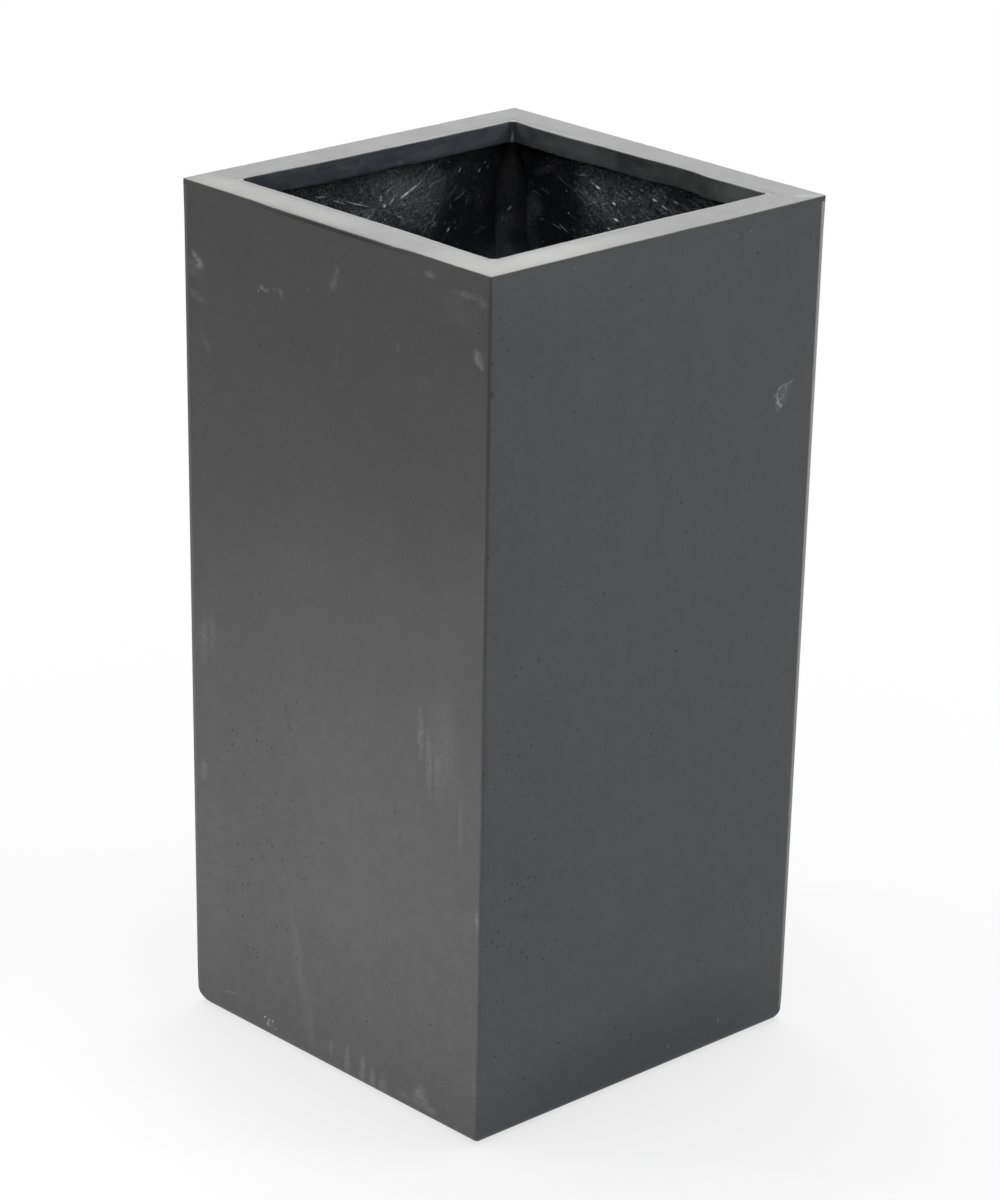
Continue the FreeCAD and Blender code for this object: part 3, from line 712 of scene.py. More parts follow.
def filler():
    """Pale where a drop stands out of the corner, and dark in the joint behind it."""
    g = Graph("filler")
    grain = g.noise(1.0 * MM, 2.0, 0.6)
    diagonal = g.plus(g.math("ABSOLUTE", g.x), g.math("ABSOLUTE", g.y))
    joint = LIP_END + LIP_FACE
    pale = g.mix(g.ramp(grain, 0.3, 0.7), PASTE, PASTE_PALER)
    colour = g.mix(g.ramp(diagonal, joint - 0.6 * MM, joint + 0.4 * MM), pale, PASTE_JOINT)
    # The filler's top: partly chalk, partly painted light from above.
    g.set(Base_Color=g.mix(g.ramp(g.up, 0.7, 0.95), colour, TOP_GREY_CHALK_AND_LIGHT))
    g.set(Roughness=0.42, Normal=g.bump(grain, 0.05 * MM))
    return g.material


def rubber():
    """Black rubber with a little dust."""
    g = Graph("plug_rubber")
    dust = g.noise(4 * MM, 4.0, 0.65)
    g.set(Base_Color=g.mix(g.ramp(dust, 0.45, 0.75), RUBBER, RUBBER_DUSTY))
    g.set(Roughness=g.ramp(dust, 0.3, 0.7, 0.55, 0.75), Normal=g.bump(g.noise(0.8 * MM), 0.04 * MM))
    return g.material


# Outside -----------------------------------------------------------------------

SKIN_SEED, LINE_SEED, WEAR_SEED, CHIP_SEED, TOP_SEED, DENT_SEED, EDGE_SEED = 3, 21, 27, 31, 41, 51, 61
RAIL_COLUMNS, LIP_COLUMNS = 220, 170
SKIN_STEP = 9 * MM
SKIN_WAVE = 0.22 * MM
RAIL_LINE = HEIGHT - 3.0 * MM  # the level of the line on the rail's outer edge
GROOVE_DEPTH = 0.25 * MM
CROWN_WEAR = 0.7 * MM
BEAD_INSET = LIP_FACE + 0.6 * MM
SOLE_ROUND = 10 * MM
FOOT_RADII = np.array([5, 7, 7, 13]) * MM  # the corners from the front right
LOOP_REACH = 14 * MM  # how far from the corners a square loop's evenly spread points end


def skin_shift(turn):
    """Slow unevenness of a moulded face, none at its corners."""

    def shift(along, deep, high):
        outside = np.abs(deep - outer(high)) < 0.2 * MM
        fade = ease((outer(high) - np.abs(along)) / (25 * MM) - 0.15) * ease((high - TRAY_TOP) / (30 * MM))
        wave = ripple(on_flat(along, high), 0.13, SKIN_SEED + turn, 2)
        return along, deep + SKIN_WAVE * wave * fade * outside, high

    return shift


def make_facing(side, turn, stone):
    """The grey panel of a side, from the base to the rail."""
    rows = round((RIM_UNDERSIDE - TRAY_TOP) / SKIN_STEP)
    levels = np.linspace(TRAY_TOP, RIM_UNDERSIDE, rows)
    profile = [(outer(level), level) for level in levels]
    profile += [(outer(level) - FACING, level) for level in (RIM_UNDERSIDE, TRAY_TOP)]
    shell = swept_shell(profile, round(2 * TOP_HALF / SKIN_STEP), shift=skin_shift(turn))
    new_piece(f"face_panel_{side}", [shell], stone, f"facing_{side}", turn)


def rail_profile():
    """Section of the flat rail: a rounded outer edge with a shallow line on it, and the top's grid."""
    profile = [(outer(RIM_UNDERSIDE), RIM_UNDERSIDE)]
    profile += [(outer(level), level) for level in (RAIL_LINE - 0.6 * MM, RAIL_LINE, RAIL_LINE + 0.6 * MM)]
    profile += arc((TOP_HALF - RIM_ROUND, HEIGHT - RIM_ROUND), RIM_ROUND, 0, 90, 5)
    profile += [(TOP_HALF - step * MM, HEIGHT) for step in (1.8, 2.5, 3.3, 4.2)]
    profile += [(depth, HEIGHT) for depth in np.linspace(TOP_HALF - 6 * MM, RAIL_INNER + 0.5 * MM, 8)]
    profile += [(RAIL_INNER + 0.1 * MM, HEIGHT - 0.05 * MM), (RAIL_INNER, HEIGHT - 0.25 * MM)]
    return profile + [(RAIL_INNER, RIM_UNDERSIDE)]


def rail_shift(side, turn):
    """The rail's unevenness, the depth of its line, and its worn and chipped outer edge."""
    skin = skin_shift(turn)

    def shift(along, deep, high):
        spot = on_flat(along, deep)
        top = ease((high - HEIGHT + 0.6 * MM) / (0.5 * MM))
        on_line = np.abs(high - RAIL_LINE) < 0.1 * MM
        groove = ease(0.4 + 1.4 * ripple(spot * [1, 0, 0], 0.09, LINE_SEED + turn, 2)) * on_line
        along, deep, high = skin(along, deep, high)
        edge = (deep > TOP_HALF - 2 * MM) * (np.abs(along) < TOP_HALF - 4 * MM)
        chips = ease(3.2 * ripple(spot, 4 * MM, CHIP_SEED + turn, 2) - 1.3) * edge
        mitre = ease((deep - np.abs(along)) / (15 * MM))
        if side == "front":
            worn = ease((100 * MM - np.abs(along)) / (20 * MM))
        else:
            worn = ease(ripple(spot, 0.2, WEAR_SEED + turn, 1))
        top, worn = top * mitre, worn * mitre
        near_edge = ease((deep - TOP_HALF + 4.5 * MM) / (4.5 * MM)) * (high > HEIGHT - 1.5 * MM)
        high = high - CROWN_WEAR * worn * near_edge
        high = high + top * 0.12 * MM * ripple(spot, 0.05, TOP_SEED + turn, 2) - 0.25 * MM * chips * top
        return along, deep - GROOVE_DEPTH * groove - 0.2 * MM * chips, high

    return shift


def make_rim_rail(side, turn, stone):
    """The flat rail on top of a side, mitred at its ends."""
    shell = swept_shell(rail_profile(), RAIL_COLUMNS, shift=rail_shift(side, turn))
    new_piece(f"rim_flat_{side}", [shell], stone, f"rim_rail_{side}", turn, crease=50)


# How the return strips bow: millimetres along each side, and millimetres towards the mouth's middle.
LIP_BOWS = {
    "front": [(-160, -0.5), (-90, 0.6), (-20, 0.3), (60, 1.0), (110, -0.4), (160, -1.0)],
    "right": [(-160, -0.6), (-100, 0.5), (-30, 1.1), (40, 1.6), (100, -0.2), (160, -0.4)],
    "back": [
        (-160, 1.2), (-140, 0.8), (-92, 1.5), (-66, -2.2), (-45, -2.0), (0, -0.2), (50, 0.1), (95, 1.9),
        (135, 1.4), (160, -1.6),
    ],
    "left": [
        (-160, -1.2), (-140, 0.2), (-90, 0.2), (-50, 1.3), (0, 0.6), (55, 0.7), (110, -0.8), (160, -1.6),
    ],
}


def lip_wave(side, along):
    """How far a return strip bows into the mouth at places along it."""
    places, sizes = np.transpose(LIP_BOWS[side]) * MM
    fine = np.linspace(-LIP_END, LIP_END, 161)
    rough = np.interp(fine, places, sizes)
    kernel = np.hanning(21)
    smooth = np.convolve(np.pad(rough, 10, "edge"), kernel / kernel.sum(), "valid")
    return np.interp(along, fine, smooth)


def lip_profile():
    """Section of a return strip, its inner face's edges rounded."""
    round_at = LIP_FACE + LIP_ROUND
    profile = [(RAIL_INNER, LIP_BOTTOM), (RAIL_INNER, HEIGHT - 0.25 * MM)]
    profile += [(RAIL_INNER - 0.1 * MM, HEIGHT - 0.05 * MM)]
    profile += [(depth, HEIGHT) for depth in np.linspace(RAIL_INNER - 0.6 * MM, LIP_FACE + 1.6 * MM, 4)]
    profile += arc((round_at, HEIGHT - LIP_ROUND), LIP_ROUND, 90, 180, 4)
    profile += [(LIP_FACE, level) for level in np.linspace(HEIGHT - 2.2 * MM, LIP_BOTTOM + 2.2 * MM, 9)]
    return profile + arc((round_at, LIP_BOTTOM + LIP_ROUND), LIP_ROUND, 180, 270, 4)


def make_return_lip(side, turn, resin):
    """Strip with a bowed and dented inner face, and an uneven lower edge."""

    def shift(along, deep, high):
        inward = ease((RAIL_INNER - 0.6 * MM - deep) / (3.2 * MM))
        spot = on_flat(along, high)
        dents = 0.35 * MM * ripple(spot, 0.016, DENT_SEED + turn, 3)
        low = ease((LIP_BOTTOM + 6 * MM - high) / (6 * MM))
        ragged = 0.8 * MM * ripple(spot * [1, 0, 0], 0.03, EDGE_SEED + turn, 4)
        return along, deep - inward * (lip_wave(side, along) + dents), high + low * ragged

    shell = swept_shell(lip_profile(), LIP_COLUMNS, half_length=LIP_END, shift=shift)
    new_piece(f"return_strip_{side}", [shell], resin, f"return_lip_{side}", turn, crease=50)


def bead_drop(steps=26, around=12):
    """A drop that ran down the bead and set: thin at its top, wider below and rounded at its foot."""
    share, angle = np.meshgrid(np.linspace(0, 1, steps + 1), bearings(around), indexing="ij")
    level = HEIGHT - 1.2 * MM - share * (HEIGHT - LIP_BOTTOM - 0.4 * MM)
    foot = np.sqrt(np.maximum(0.02, 1 - (np.maximum(0, share - 0.86) / 0.14) ** 2))
    width = (0.35 + 1.9 * ease(share * 1.5 - 0.4)) * MM * foot
    across, out = width * np.cos(angle), 0.75 * width * np.sin(angle)
    centre = (LIP_END + BEAD_INSET) / 2
    points = [centre + (across - out) * DIAGONAL, -centre + (across + out) * DIAGONAL, level]
    return np.stack(points, -1), tube(steps + 1, around)


def make_lip_bead(corner, turn, paste):
    """Filler in the corner of the return strips, with a drop on it."""
    toe, heel = LIP_END, RAIL_INNER
    outline = [(toe, -heel), (heel, -heel), (heel, -toe), (BEAD_INSET, -toe), (toe, -BEAD_INSET)]
    prism = [[(x, y, level) for x, y in outline] for level in (LIP_BOTTOM, HEIGHT - 0.2 * MM)]
    shells = [(prism, tube(2, len(outline))), bead_drop()]
    new_piece(f"corner_filler_{corner}", shells, paste, f"lip_bead_{corner}", turn)


def square_loop(half, radii, level, per_side=40):
    """A closed loop round a square from the front side on, with one radius or one for each corner.

    The corners are counted from the front right.
    """
    spread = np.linspace(-1, 1, per_side) * (half - LOOP_REACH)
    steps = np.linspace(0, math.pi / 2, 2 * CORNER_STEPS + 1)
    front = [(value, -half) for value in spread]
    loop = []
    for quarter, radius in enumerate(np.broadcast_to(radii, 4)):
        flat = half - radius
        corner = [(flat + radius * math.sin(a), -flat - radius * math.cos(a)) for a in steps]
        c, s = ((1, 0), (0, 1), (-1, 0), (0, -1))[quarter]
        loop += [(x * c - y * s, x * s + y * c, level) for x, y in front + corner]
    return np.array(loop)


def circle_loop(radius, level, like):
    """A circle with a point for each point of another loop, at the same bearing."""
    bearing = np.arctan2(like[:, 1], like[:, 0])
    return np.stack([radius * np.cos(bearing), radius * np.sin(bearing), level + 0 * bearing], -1)


def hole_radius(node):
    """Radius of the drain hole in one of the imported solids."""
    return min(math.hypot(*vertex.co.xy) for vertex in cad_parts[node].data.vertices)


def loops_mesh(loops):
    """Points and faces of a closed skin over loops that lead round from the last to the first."""
    points = np.array(loops)
    return points, lattice(*points.shape[:2], loop_rows=True, loop_columns=True)


def make_tray(stone):
    """Moulded base: rounded lower edge, standing ring, raised middle and drain hole."""
    spots = [vertex.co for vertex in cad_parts["base_tray"].data.vertices]
    hole = hole_radius("base_tray")
    recess = min(spot.z for spot in spots if math.hypot(*spot.xy) < hole + 0.1 * MM)
    ring = max(spot.x for spot in spots if abs(spot.z - recess) < 0.1 * MM and spot.x < 0.9 * TRAY_HALF)
    sole, start = outer(0), corner_round(TRAY_TOP)
    template = square_loop(TRAY_HALF, start, TRAY_TOP)
    loops = [circle_loop(hole, TRAY_TOP, template), template]
    for level in (12.5 * MM, 11 * MM, 10 * MM):
        radii = start + (FOOT_RADII - start) * (TRAY_TOP - level) / TRAY_TOP
        loops.append(square_loop(outer(level), radii, level))
    for depth, level in arc((sole - SOLE_ROUND, SOLE_ROUND), SOLE_ROUND, -10, -90, 10):
        radii = start + (FOOT_RADII - start) * ease((TRAY_TOP - level) / TRAY_TOP * 1.3)
        loops.append(square_loop(depth, np.maximum(0.5 * MM, radii - 0.5 * (sole - depth)), level))
    inner_steps = ((ring + 1 * MM, 0), (ring, 1 * MM), (ring, recess - 1 * MM), (ring - 1 * MM, recess))
    loops += [square_loop(half, 0, level) for half, level in inner_steps]
    loops += [circle_loop(hole + 1 * MM, recess, template), circle_loop(hole, recess + 1 * MM, template)]
    new_piece("base_shell", [loops_mesh(loops)], stone, "base_tray", crease=45)


# Inside ------------------------------------------------------------------------

WALL_SEED, TAPE_SEED, COVE_SEED, FLOOR_SEED, STRAND_SEED = 70, 90, 110, 120, 11
WALL_COLUMNS, BACKING_COLUMNS, COVE_COLUMNS = 126, 180, 120
SMOOTH_END = {"left": -1, "back": 1}  # the wall's end at the smooth back left corner
STRAND_SECTION = ((-0.5, -0.6), (-0.30, 0.75), (0.0, 1.0), (0.30, 0.75), (0.5, -0.6))  # across, up
# Radius and height of a drop's rings.
DROP_RINGS = ((0.02, -0.6), (1.0, -0.4), (0.92, 0.35), (0.72, 0.75), (0.42, 0.95), (0.08, 1.0))
DROP_SIDES = 12
DROP_COUNT = 120
BURST_AT = (-10 * MM, 744 * MM)
# Strands of a wall and over the backing: how many, and their lengths and widths in millimetres.
WALL_STRANDS = (700, (8, 40), (0.6, 1.8))
PACKED_STRANDS = ((160, (6, 24), (0.6, 1.5)), (1800, (5, 20), (0.6, 1.2)))
FLOOR_STRANDS, FLOOR_STRAND_LENGTH = 300, 48 * MM
# How far from the middle of a side or the floor the strands and the drops lie.
WALL_SPREAD, PACKED_SPREAD, DROP_SPREAD, FLOOR_SPREAD = 0.165, 0.152, 0.14, 0.172
PLUG_RING = ((4, 0), (4.6, 0.8), (6.4, 0.8), (7, 0))  # in from the head's edge and down, in millimetres
# Bundles that catch the light, as (along, level) of both ends, in millimetres.
SHINING = {
    "left": [
        ((-59, 762), (-29, 747)), ((2, 744), (44, 759)), ((60, 768), (74, 764)), ((-104, 764), (-99, 759)),
        ((-92, 711), (-90, 702)), ((-128, 760), (-125, 754)), ((-155, 727), (-152, 720)),
    ],
    "back": [
        ((51, 756), (58, 761)), ((30, 746), (35, 749)), ((-24, 761), (-17, 763)), ((-36, 756), (-29, 760)),
        ((26, 731), (34, 734)), ((114, 770), (138, 758)), ((138, 758), (148, 746)),
        ((-60, 741), (-52, 745)), ((4, 738), (12, 742)), ((-80, 752), (-74, 755)),
    ],
}


def inner_relief(points, seed):
    """Height of the lumpy resin skin, in metres."""
    return (
        0.85 * MM * ripple(points, 0.045, seed, 2)
        + 0.50 * MM * ripple(points, 0.012, seed + 5, 2)
        + 0.16 * MM * ripple(points, 0.005, seed + 9, 1)
    )


def wall_surface(seed):
    """Maps places on the front side's inner face, and a height above it, to points."""

    def surface(along, level, lift):
        lift = lift + inner_relief(on_flat(along, level), seed)
        return np.stack([along, lift - wall_depth(level), level], -1)

    return surface


def lumpy_shift(seed, margin, highest):
    """Moves the points of a wall's inner face below a level as wall_surface() has them."""

    def shift(along, deep, high):
        free = (deep < outer(high) - WALL + margin) * (high < highest)
        return along, deep - free * inner_relief(on_flat(along, high), seed), high

    return shift


def floor_surface(x, y, lift):
    """Points at a height above the floor's lumpy skin."""
    spot = np.stack([x, y, 0 * x + FLOOR_TOP], -1)
    return spot + np.stack([0 * x, 0 * x, inner_relief(spot, FLOOR_SEED) + lift], -1)


def copies(faces, count, stride):
    """The same faces for each of count shells of stride points."""
    starts = range(0, count * stride, stride)
    return [[start + corner for corner in face] for start in starts for face in faces]


def strand_block(surface, paths, widths, heights):
    """Flat bundles of strands lying on a surface, one for each path of (along, level) points."""
    paths, widths, heights = np.asarray(paths), np.asarray(widths)[:, None], np.asarray(heights)[:, None]
    count, length = paths.shape[:2]
    step = np.gradient(paths, axis=1)
    step /= np.linalg.norm(step, axis=2, keepdims=True)
    across = np.stack([-step[..., 1], step[..., 0]], -1)
    taper = np.sin(np.linspace(0.12, math.pi - 0.12, length)) ** 0.45
    lines = []
    for offset, rise in STRAND_SECTION:
        place = paths + across * (offset * widths * taper)[..., None]
        lines.append(surface(place[..., 0], place[..., 1], rise * heights * taper))
    around = len(STRAND_SECTION)
    return np.stack(lines, 2).reshape(-1, 3), copies(tube(length, around), count, around * length)


def bent_paths(rng, centres, angles, lengths, bend=0.5, count=6):
    """Gently curved paths of count points through their centres."""
    share = np.linspace(-0.5, 0.5, count)
    heading = angles[:, None] + rng.uniform(-bend, bend, len(angles))[:, None] * share
    step = np.stack([np.cos(heading), np.sin(heading)], -1) * lengths[:, None, None] / (count - 1)
    path = np.cumsum(step, 1)
    return centres[:, None] + path - path.mean(1, keepdims=True)


def scattered_strands(rng, surface, strands, band, half, smooth_end):
    """Strand bundles thrown at random on a wall between the two levels of a band.

    Few lie near the end that smooth_end points to, -1 or 1.
    """
    count, lengths, widths = strands
    low, high = band
    centres = np.stack([rng.uniform(-half, half, count), rng.uniform(low, high, count)], -1)
    paths = bent_paths(rng, centres, rng.uniform(0, math.pi, count), rng.uniform(*lengths, count) * MM)
    along, level = np.abs(paths[..., 0]), paths[..., 1]
    inside = (level.min(1) > low) & (level.max(1) < high) & (along.max(1) < half)
    thinned = rng.uniform(0, 1, count) > 0.96 * ease((smooth_end * centres[:, 0] / half - 0.35) / 0.25)
    paths = paths[inside & thinned]
    heights = rng.uniform(0.35, 0.90, len(paths)) * MM
    return strand_block(surface, paths, rng.uniform(*widths, len(paths)) * MM, heights)


def burst(rng, surface, centre, count):
    """Fine strands splayed from one spot."""
    angles = 2 * math.pi * (np.arange(count) + rng.uniform(-0.5, 0.5, count)) / count
    lengths = rng.uniform(12, 36, count) * MM
    reach = rng.uniform(3, 36, count) * MM + lengths / 2
    centres = np.array(centre) + np.stack([np.cos(angles) * 1.15, np.sin(angles) * 0.8], -1) * reach[:, None]
    paths = bent_paths(rng, centres, angles, lengths, 0.35)
    paths = paths[paths[..., 1].max(1) < LIP_BOTTOM - 3 * MM]
    widths = rng.uniform(0.6, 1.2, len(paths)) * MM
    return strand_block(surface, paths, widths, rng.uniform(0.5, 0.9, len(paths)) * MM)


def shining_strands(rng, surface, side):
    """The bundles that catch the light, wider and higher than the others."""
    ends = np.array(SHINING[side], float) * MM
    middles, spans = ends.mean(1), ends[:, 1] - ends[:, 0]
    lengths = np.linalg.norm(spans, axis=1)
    paths = bent_paths(rng, middles, np.arctan2(spans[:, 1], spans[:, 0]), lengths, 0.3)
    return strand_block(surface, paths, np.full(len(paths), 1.5 * MM), np.full(len(paths), 1.0 * MM))


def drops(surface, places, radii):
    """Small domes of resin that set before they ran."""
    places, radii = np.asarray(places)[:, None, None], np.asarray(radii)[:, None, None]
    angles, ring = bearings(DROP_SIDES), np.array(DROP_RINGS)[:, :, None]
    along = places[..., 0] + radii * ring[:, 0] * np.cos(angles)
    level = places[..., 1] + radii * ring[:, 0] * np.sin(angles)
    points = surface(along, level, 0.5 * radii * ring[:, 1] + 0 * along).reshape(-1, 3)
    faces = tube(len(DROP_RINGS), DROP_SIDES)
    return points, copies(faces, len(places), len(DROP_RINGS) * DROP_SIDES)


def make_laminate(side, turn, gloss, rng):
    """The glossy wall behind a facing, with strands lying on it up to the backing."""
    seed = WALL_SEED + turn
    levels = np.append(np.arange(TRAY_TOP, BACKING_BOTTOM + 20 * MM, 3 * MM), RIM_UNDERSIDE)
    profile = [(outer(level) - WALL, level) for level in levels]
    profile += [(outer(level) - FACING, level) for level in (RIM_UNDERSIDE, TRAY_TOP)]
    shift = lumpy_shift(seed, 0.1 * MM, BACKING_BOTTOM + 30 * MM)
    wall = swept_shell(profile, WALL_COLUMNS, shift=shift)
    band = COVE_TOP + 4 * MM, BACKING_BOTTOM + 4 * MM
    surface, smooth_end = wall_surface(seed), SMOOTH_END.get(side, 0)
    strands = scattered_strands(rng, surface, WALL_STRANDS, band, WALL_SPREAD, smooth_end)
    new_lining(f"inner_wall_{side}", [wall, strands], gloss, f"laminate_{side}", turn)


def make_backing(side, turn, gloss, rng):
    """Mat and resin packed behind a return strip, with the strands and drops that the mouth shows."""
    surface = wall_surface(WALL_SEED + turn)
    profile = [(float(wall_depth(level)), level) for level in np.arange(BACKING_BOTTOM, LIP_BOTTOM, 2 * MM)]
    profile += [(RAIL_INNER, LIP_BOTTOM), (RAIL_INNER, RIM_UNDERSIDE)]
    profile += [(outer(level) - WALL, level) for level in (RIM_UNDERSIDE, BACKING_BOTTOM)]
    shift = lumpy_shift(WALL_SEED + turn, -0.2 * MM, LIP_BOTTOM + 0.1 * MM)
    shells = [swept_shell(profile, BACKING_COLUMNS, shift=shift)]
    band = BACKING_BOTTOM + 6 * MM, LIP_BOTTOM - 3 * MM
    for strands in PACKED_STRANDS:
        smooth_end = SMOOTH_END.get(side, 0)
        shells.append(scattered_strands(rng, surface, strands, band, PACKED_SPREAD, smooth_end))
    along = rng.uniform(-DROP_SPREAD, DROP_SPREAD, DROP_COUNT)
    places = np.stack([along, rng.uniform(*band, DROP_COUNT)], -1)
    shells.append(drops(surface, places, rng.uniform(0.8, 2.6, DROP_COUNT) * MM))
    if side in SHINING:
        shells.append(shining_strands(rng, surface, side))
    if side == "left":
        shells += [burst(rng, surface, BURST_AT, 80), drops(surface, [BURST_AT], [2.6 * MM])]
    new_lining(f"packed_mat_{side}", shells, gloss, f"lip_backing_{side}", turn)


def make_corner_tape(corner, turn, gloss):
    """Mat strip in a cove up the corner, which tightens towards the return strips."""
    bends = np.radians(np.linspace(90, 0, 12))
    rings = []
    for level in np.arange(COVE_TOP, LIP_BOTTOM + 0.1 * MM, 3 * MM):
        depth = float(wall_depth(level))
        leg = 20 * MM - 12 * MM * float(ease((level - LIP_BOTTOM + 40 * MM) / (40 * MM)))
        near, far = depth - leg, depth + 1 * MM
        ring = [(far, -far), (near, -far)]
        ring += [(near + leg * math.cos(bend), -near - leg * math.sin(bend)) for bend in bends]
        rings.append([(x, y, level) for x, y in [*ring, (far, -near)]])
    points = np.array(rings)
    lift = inner_relief(points, TAPE_SEED + turn) + 0.9 * MM
    lift[:, :2] = lift[:, -1:] = 0
    points += lift[..., None] * np.array([-DIAGONAL, DIAGONAL, 0])
    shell = points, tube(*points.shape[:2])
    new_lining(f"cove_strip_{corner}", [shell], gloss, f"corner_tape_{corner}", turn)


def make_floor_cove(side, turn, gloss):
    """Mat strip round the floor's edge, its face a quarter of a circle."""
    low = outer(FLOOR_TOP) - WALL
    reach = COVE_TOP - FLOOR_TOP
    centre = (low - reach, FLOOR_TOP + reach)
    profile = arc(centre, reach, -90, 0, 8) + [(outer(COVE_TOP) - WALL, COVE_TOP), (low, FLOOR_TOP)]

    def shift(along, deep, high):
        spot = np.stack([along, high, deep], -1)
        free = (deep < outer(high) - WALL - 0.5 * MM) * (high > FLOOR_TOP + 0.2 * MM)
        return along, deep - free * inner_relief(spot, COVE_SEED + turn), high

    shell = swept_shell(profile, COVE_COLUMNS, shift=shift)
    new_lining(f"foot_strip_{side}", [shell], gloss, f"floor_cove_{side}", turn)


def make_floor(gloss, rng):
    """Laminate over the base, flat where the plug's head sits."""
    hole, half = hole_radius("floor_laminate"), outer(TRAY_TOP) - WALL
    edge = square_loop(half, 0, FLOOR_TOP, per_side=60)
    rim = circle_loop(hole, FLOOR_TOP, edge)
    top = np.array([rim * (1 - share) + edge * share for share in np.linspace(0, 1, 60)])
    clear = ease((np.linalg.norm(top[..., :2], axis=-1) - PLUG_HIGH.x - 1 * MM) / (15 * MM))
    top[..., 2] += clear * inner_relief(top, FLOOR_SEED)
    skin = loops_mesh([*top, square_loop(half, 0, TRAY_TOP, per_side=60), circle_loop(hole, TRAY_TOP, edge)])
    centres = rng.uniform(-WALL_SPREAD, WALL_SPREAD, (FLOOR_STRANDS, 2))
    lengths = FLOOR_STRAND_LENGTH * rng.uniform(0.4, 0.7, FLOOR_STRANDS)
    paths = bent_paths(rng, centres, rng.uniform(0, math.pi, FLOOR_STRANDS), lengths)
    beside_plug = np.hypot(paths[..., 0], paths[..., 1]).min(1) > PLUG_HIGH.x + 3 * MM
    paths = paths[beside_plug & (np.abs(paths).max((1, 2)) < FLOOR_SPREAD)]
    widths = rng.uniform(1.0, 2.6, len(paths)) * MM
    strands = strand_block(floor_surface, paths, widths, np.full(len(paths), 0.4 * MM))
    new_lining("floor_mat", [skin, strands], gloss, "floor_laminate")


def stem_radius():
    """Radius of the plug's stem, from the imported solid."""
    spots = [v.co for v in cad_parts["drain_plug"].data.vertices if v.co.z < FLOOR_TOP - 1 * MM]
    return max(math.hypot(*spot.xy) for spot in spots)


def make_plug(rubber, around=96):
    """Bung, turned: a flat head with a rounded edge and a sunk ring, and a stem with a chamfered tip."""
    radius, stem, edge = PLUG_HIGH.x, stem_radius(), 1.5 * MM
    low, high = PLUG_LOW.z, PLUG_HIGH.z
    profile = [(0.0, low), (stem - edge, low), (stem, low + edge), (stem, FLOOR_TOP), (radius, FLOOR_TOP)]
    profile += arc((radius - edge, high - edge), edge, 0, 90, 5)
    profile += [(radius - inset * MM, high - dip * MM) for inset, dip in PLUG_RING]
    profile += [(3 * MM, high), (0.0, high)]
    angles = bearings(around)
    points = [[(r * math.cos(a), r * math.sin(a), level) for a in angles] for r, level in profile]
    shell = points, lattice(len(profile), around, loop_columns=True)
    new_piece("rubber_bung", [shell], rubber, "drain_plug", body="plug", crease=35)


# Stage -------------------------------------------------------------------------

# The camera, from the photograph's own frame, 1200 pixels high.
FOCAL_PIXELS, PICTURE_PIXELS, SENSOR = 4294.2, 1200, 36
AZIMUTH, ELEVATION, ROLL = 46.772, 20.660, 1.065
CAMERA_PLACE = (0.0106, 0.3856, 4.0477)  # to the camera's right, up, and back from the middle of the base
WORLD_LEVEL = 0.33
STUDIO_REACH, STUDIO_LEVEL = 14.0, -0.4 * MM
WHITE, FLOOR_GREY = (1, 1, 1, 1), (0.74, 0.74, 0.74, 1)
# Place, aim, size and power of each lamp, and its colour and spread in degrees where they aren't plain.
LAMPS = {
    "overhead": ((-0.35, 0.55, 3.1), (0, 0, 0.4), (3.0, 3.0), 97),
    "low_left": ((-0.05, -0.68, 0.20), (-0.02, -0.2, 0.20), (0.7, 0.3), 2.0, (1, 0.995, 0.99)),
    "inside": ((0.75, -0.72, 1.35), (-0.18, 0.18, 0.60), (0.06, 0.06), 0.045, (0.95, 0.97, 1), 14),
    "right_fill": ((2.5, 0.8, 1.5), (0, 0, 0.4), (1.2, 1.2), 8, (0.93, 0.97, 1)),
    "key_back": ((1.98, 1.92, 2.1), (0, 0, 0.75), (0.25, 0.25), 14),
    "key_left": ((-1.95, -1.86, 2.05), (0, 0, 0.75), (0.25, 0.25), 12),
}


def make_camera():
    """The pinhole camera that the photograph was taken with."""
    azimuth, elevation, roll = map(math.radians, (AZIMUTH, ELEVATION, ROLL))
    aside = math.cos(elevation)
    back = Vector((math.sin(azimuth) * aside, -math.cos(azimuth) * aside, math.sin(elevation)))
    level = Vector((0, 0, 1)).cross(back).normalized()
    upright = back.cross(level)
    right = level * math.cos(roll) + upright * math.sin(roll)
    up = upright * math.cos(roll) - level * math.sin(roll)
    camera = add_object("camera", bpy.data.cameras.new("camera"))
    turned = Matrix((right, up, back)).transposed().to_4x4()
    turned.translation = right * CAMERA_PLACE[0] + up * CAMERA_PLACE[1] + back * CAMERA_PLACE[2]
    camera.matrix_world = turned
    camera.data.sensor_fit = "VERTICAL"
    camera.data.sensor_height = SENSOR
    camera.data.lens = FOCAL_PIXELS / PICTURE_PIXELS * SENSOR
    camera.data.clip_end = 60
    bpy.context.scene.camera = camera


def area_lamp(name, place, aim, size, power, tint=(1, 1, 1), spread=180):
    """A lamp that the camera doesn't see."""
    lamp = bpy.data.lights.new(name, "AREA")
    lamp.shape = "RECTANGLE"
    lamp.size, lamp.size_y = size
    lamp.energy = power
    lamp.color = tint
    lamp.spread = math.radians(spread)
    holder = add_object(name, lamp)
    holder.location = place
    holder.rotation_euler = (Vector(aim) - Vector(place)).to_track_quat("-Z", "Y").to_euler()
    holder.visible_camera = False


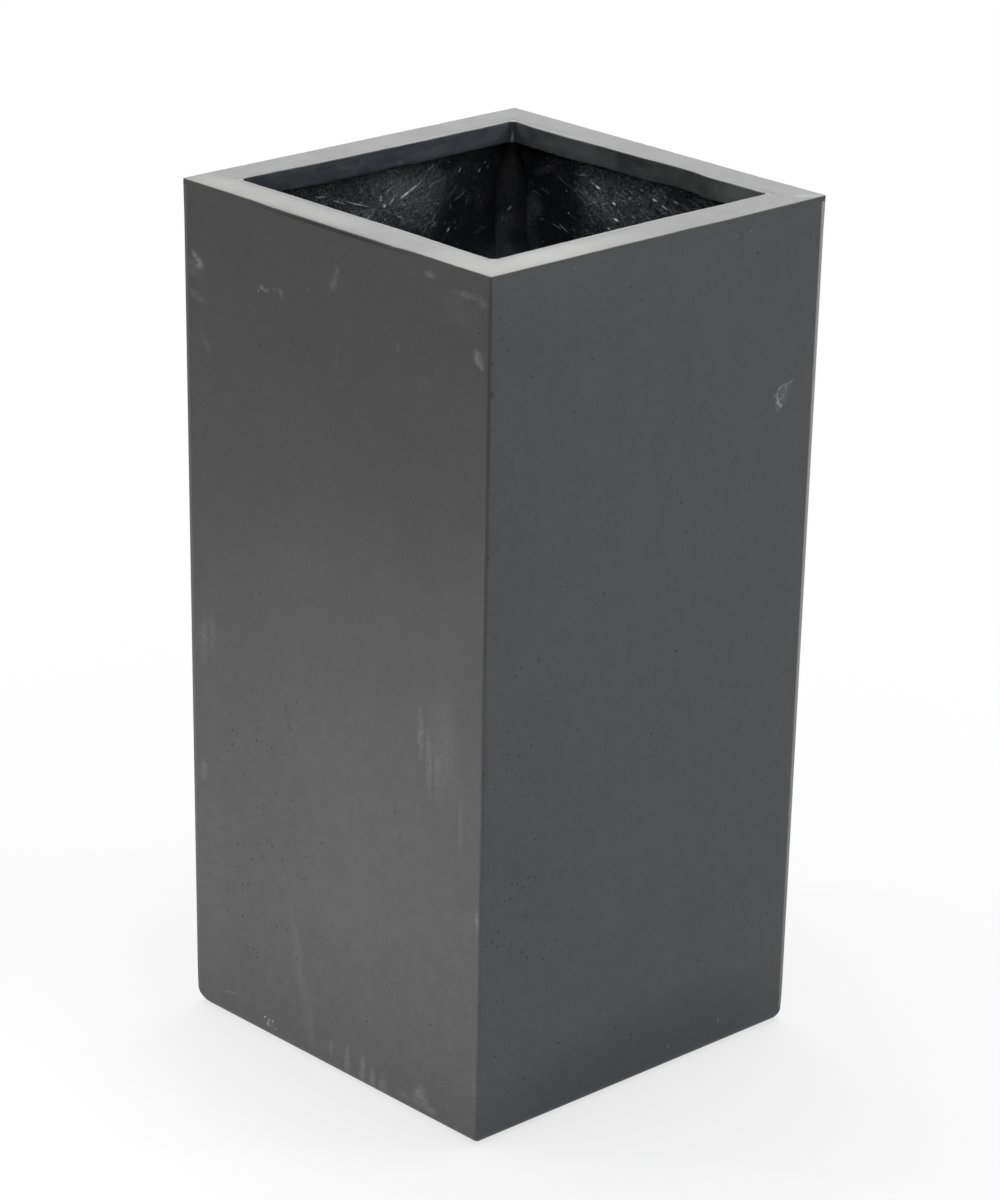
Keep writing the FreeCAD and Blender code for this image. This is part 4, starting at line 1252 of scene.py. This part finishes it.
def white_for_lens(tree):
    """1 for rays from the lens, mirrors and glass, and 0 for the light on surfaces."""
    rays = tree.nodes.new("ShaderNodeLightPath")
    total = rays.outputs["Is Camera Ray"]
    for name in ("Is Glossy Ray", "Is Transmission Ray"):
        either = tree.nodes.new("ShaderNodeMath")
        either.operation = "MAXIMUM"
        tree.links.new(total, either.inputs[0])
        tree.links.new(rays.outputs[name], either.inputs[1])
        total = either.outputs[0]
    return total


def make_world():
    """A white backdrop that lights the planter less than it shows."""
    world = bpy.data.worlds.new("studio")
    world.use_nodes = True
    bpy.context.scene.world = world
    tree = world.node_tree
    background = tree.nodes["Background"]
    background.inputs["Color"].default_value = WHITE
    strength = tree.nodes.new("ShaderNodeMapRange")
    tree.links.new(white_for_lens(tree), strength.inputs["Value"])
    strength.inputs["To Min"].default_value = WORLD_LEVEL
    strength.inputs["To Max"].default_value = 1.0
    tree.links.new(strength.outputs[0], background.inputs["Strength"])


def make_floor_stage():
    """White floor that runs out to the backdrop's white and keeps the planter's shadow."""
    mesh = bpy.data.meshes.new("studio_floor")
    far = STUDIO_REACH
    corners = [(x, y, STUDIO_LEVEL) for x, y in ((-far, -far), (far, -far), (far, far), (-far, far))]
    mesh.from_pydata(corners, [], [(0, 1, 2, 3)])
    floor = add_object("studio_floor", mesh)
    g = Graph("studio_floor")
    mesh.materials.append(g.material)
    g.set(Base_Color=FLOOR_GREY, Roughness=0.9)
    distance = g.vector("LENGTH", g.place)["Value"]
    glow = g.add("ShaderNodeEmission", {"Color": WHITE, "Strength": 1.0})
    share = g.times(white_for_lens(g.material.node_tree), g.ramp(distance, 0.3, 1.2, 0.68, 1.0))
    total = g.add("ShaderNodeMixShader", {0: share, 1: g.shader.outputs[0], 2: glow.outputs[0]})
    g.links.new(total.outputs[0], g.nodes["Material Output"].inputs["Surface"])


def make_stage():
    bpy.context.scene.view_settings.view_transform = "Standard"
    make_world()
    make_floor_stage()
    for name, lamp in LAMPS.items():
        area_lamp(name, *lamp)


# Assembly ----------------------------------------------------------------------


def main():
    make_camera()
    make_stage()
    paste, rim = filler(), stone_resin("rim")
    rng = np.random.default_rng(STRAND_SEED)
    for side, turn in SIDES.items():
        make_facing(side, turn, stone_resin(side))
        make_rim_rail(side, turn, rim)
        make_return_lip(side, turn, lip_resin(side))
        gloss = laminate(side)
        make_laminate(side, turn, gloss, rng)
        make_backing(side, turn, gloss, rng)
        make_floor_cove(side, turn, gloss)
    gloss = laminate("corner")
    for corner, turn in CORNERS.items():
        make_lip_bead(corner, turn, paste)
        make_corner_tape(corner, turn, gloss)
    make_tray(stone_resin("base"))
    make_floor(gloss, rng)
    make_plug(rubber())


main()
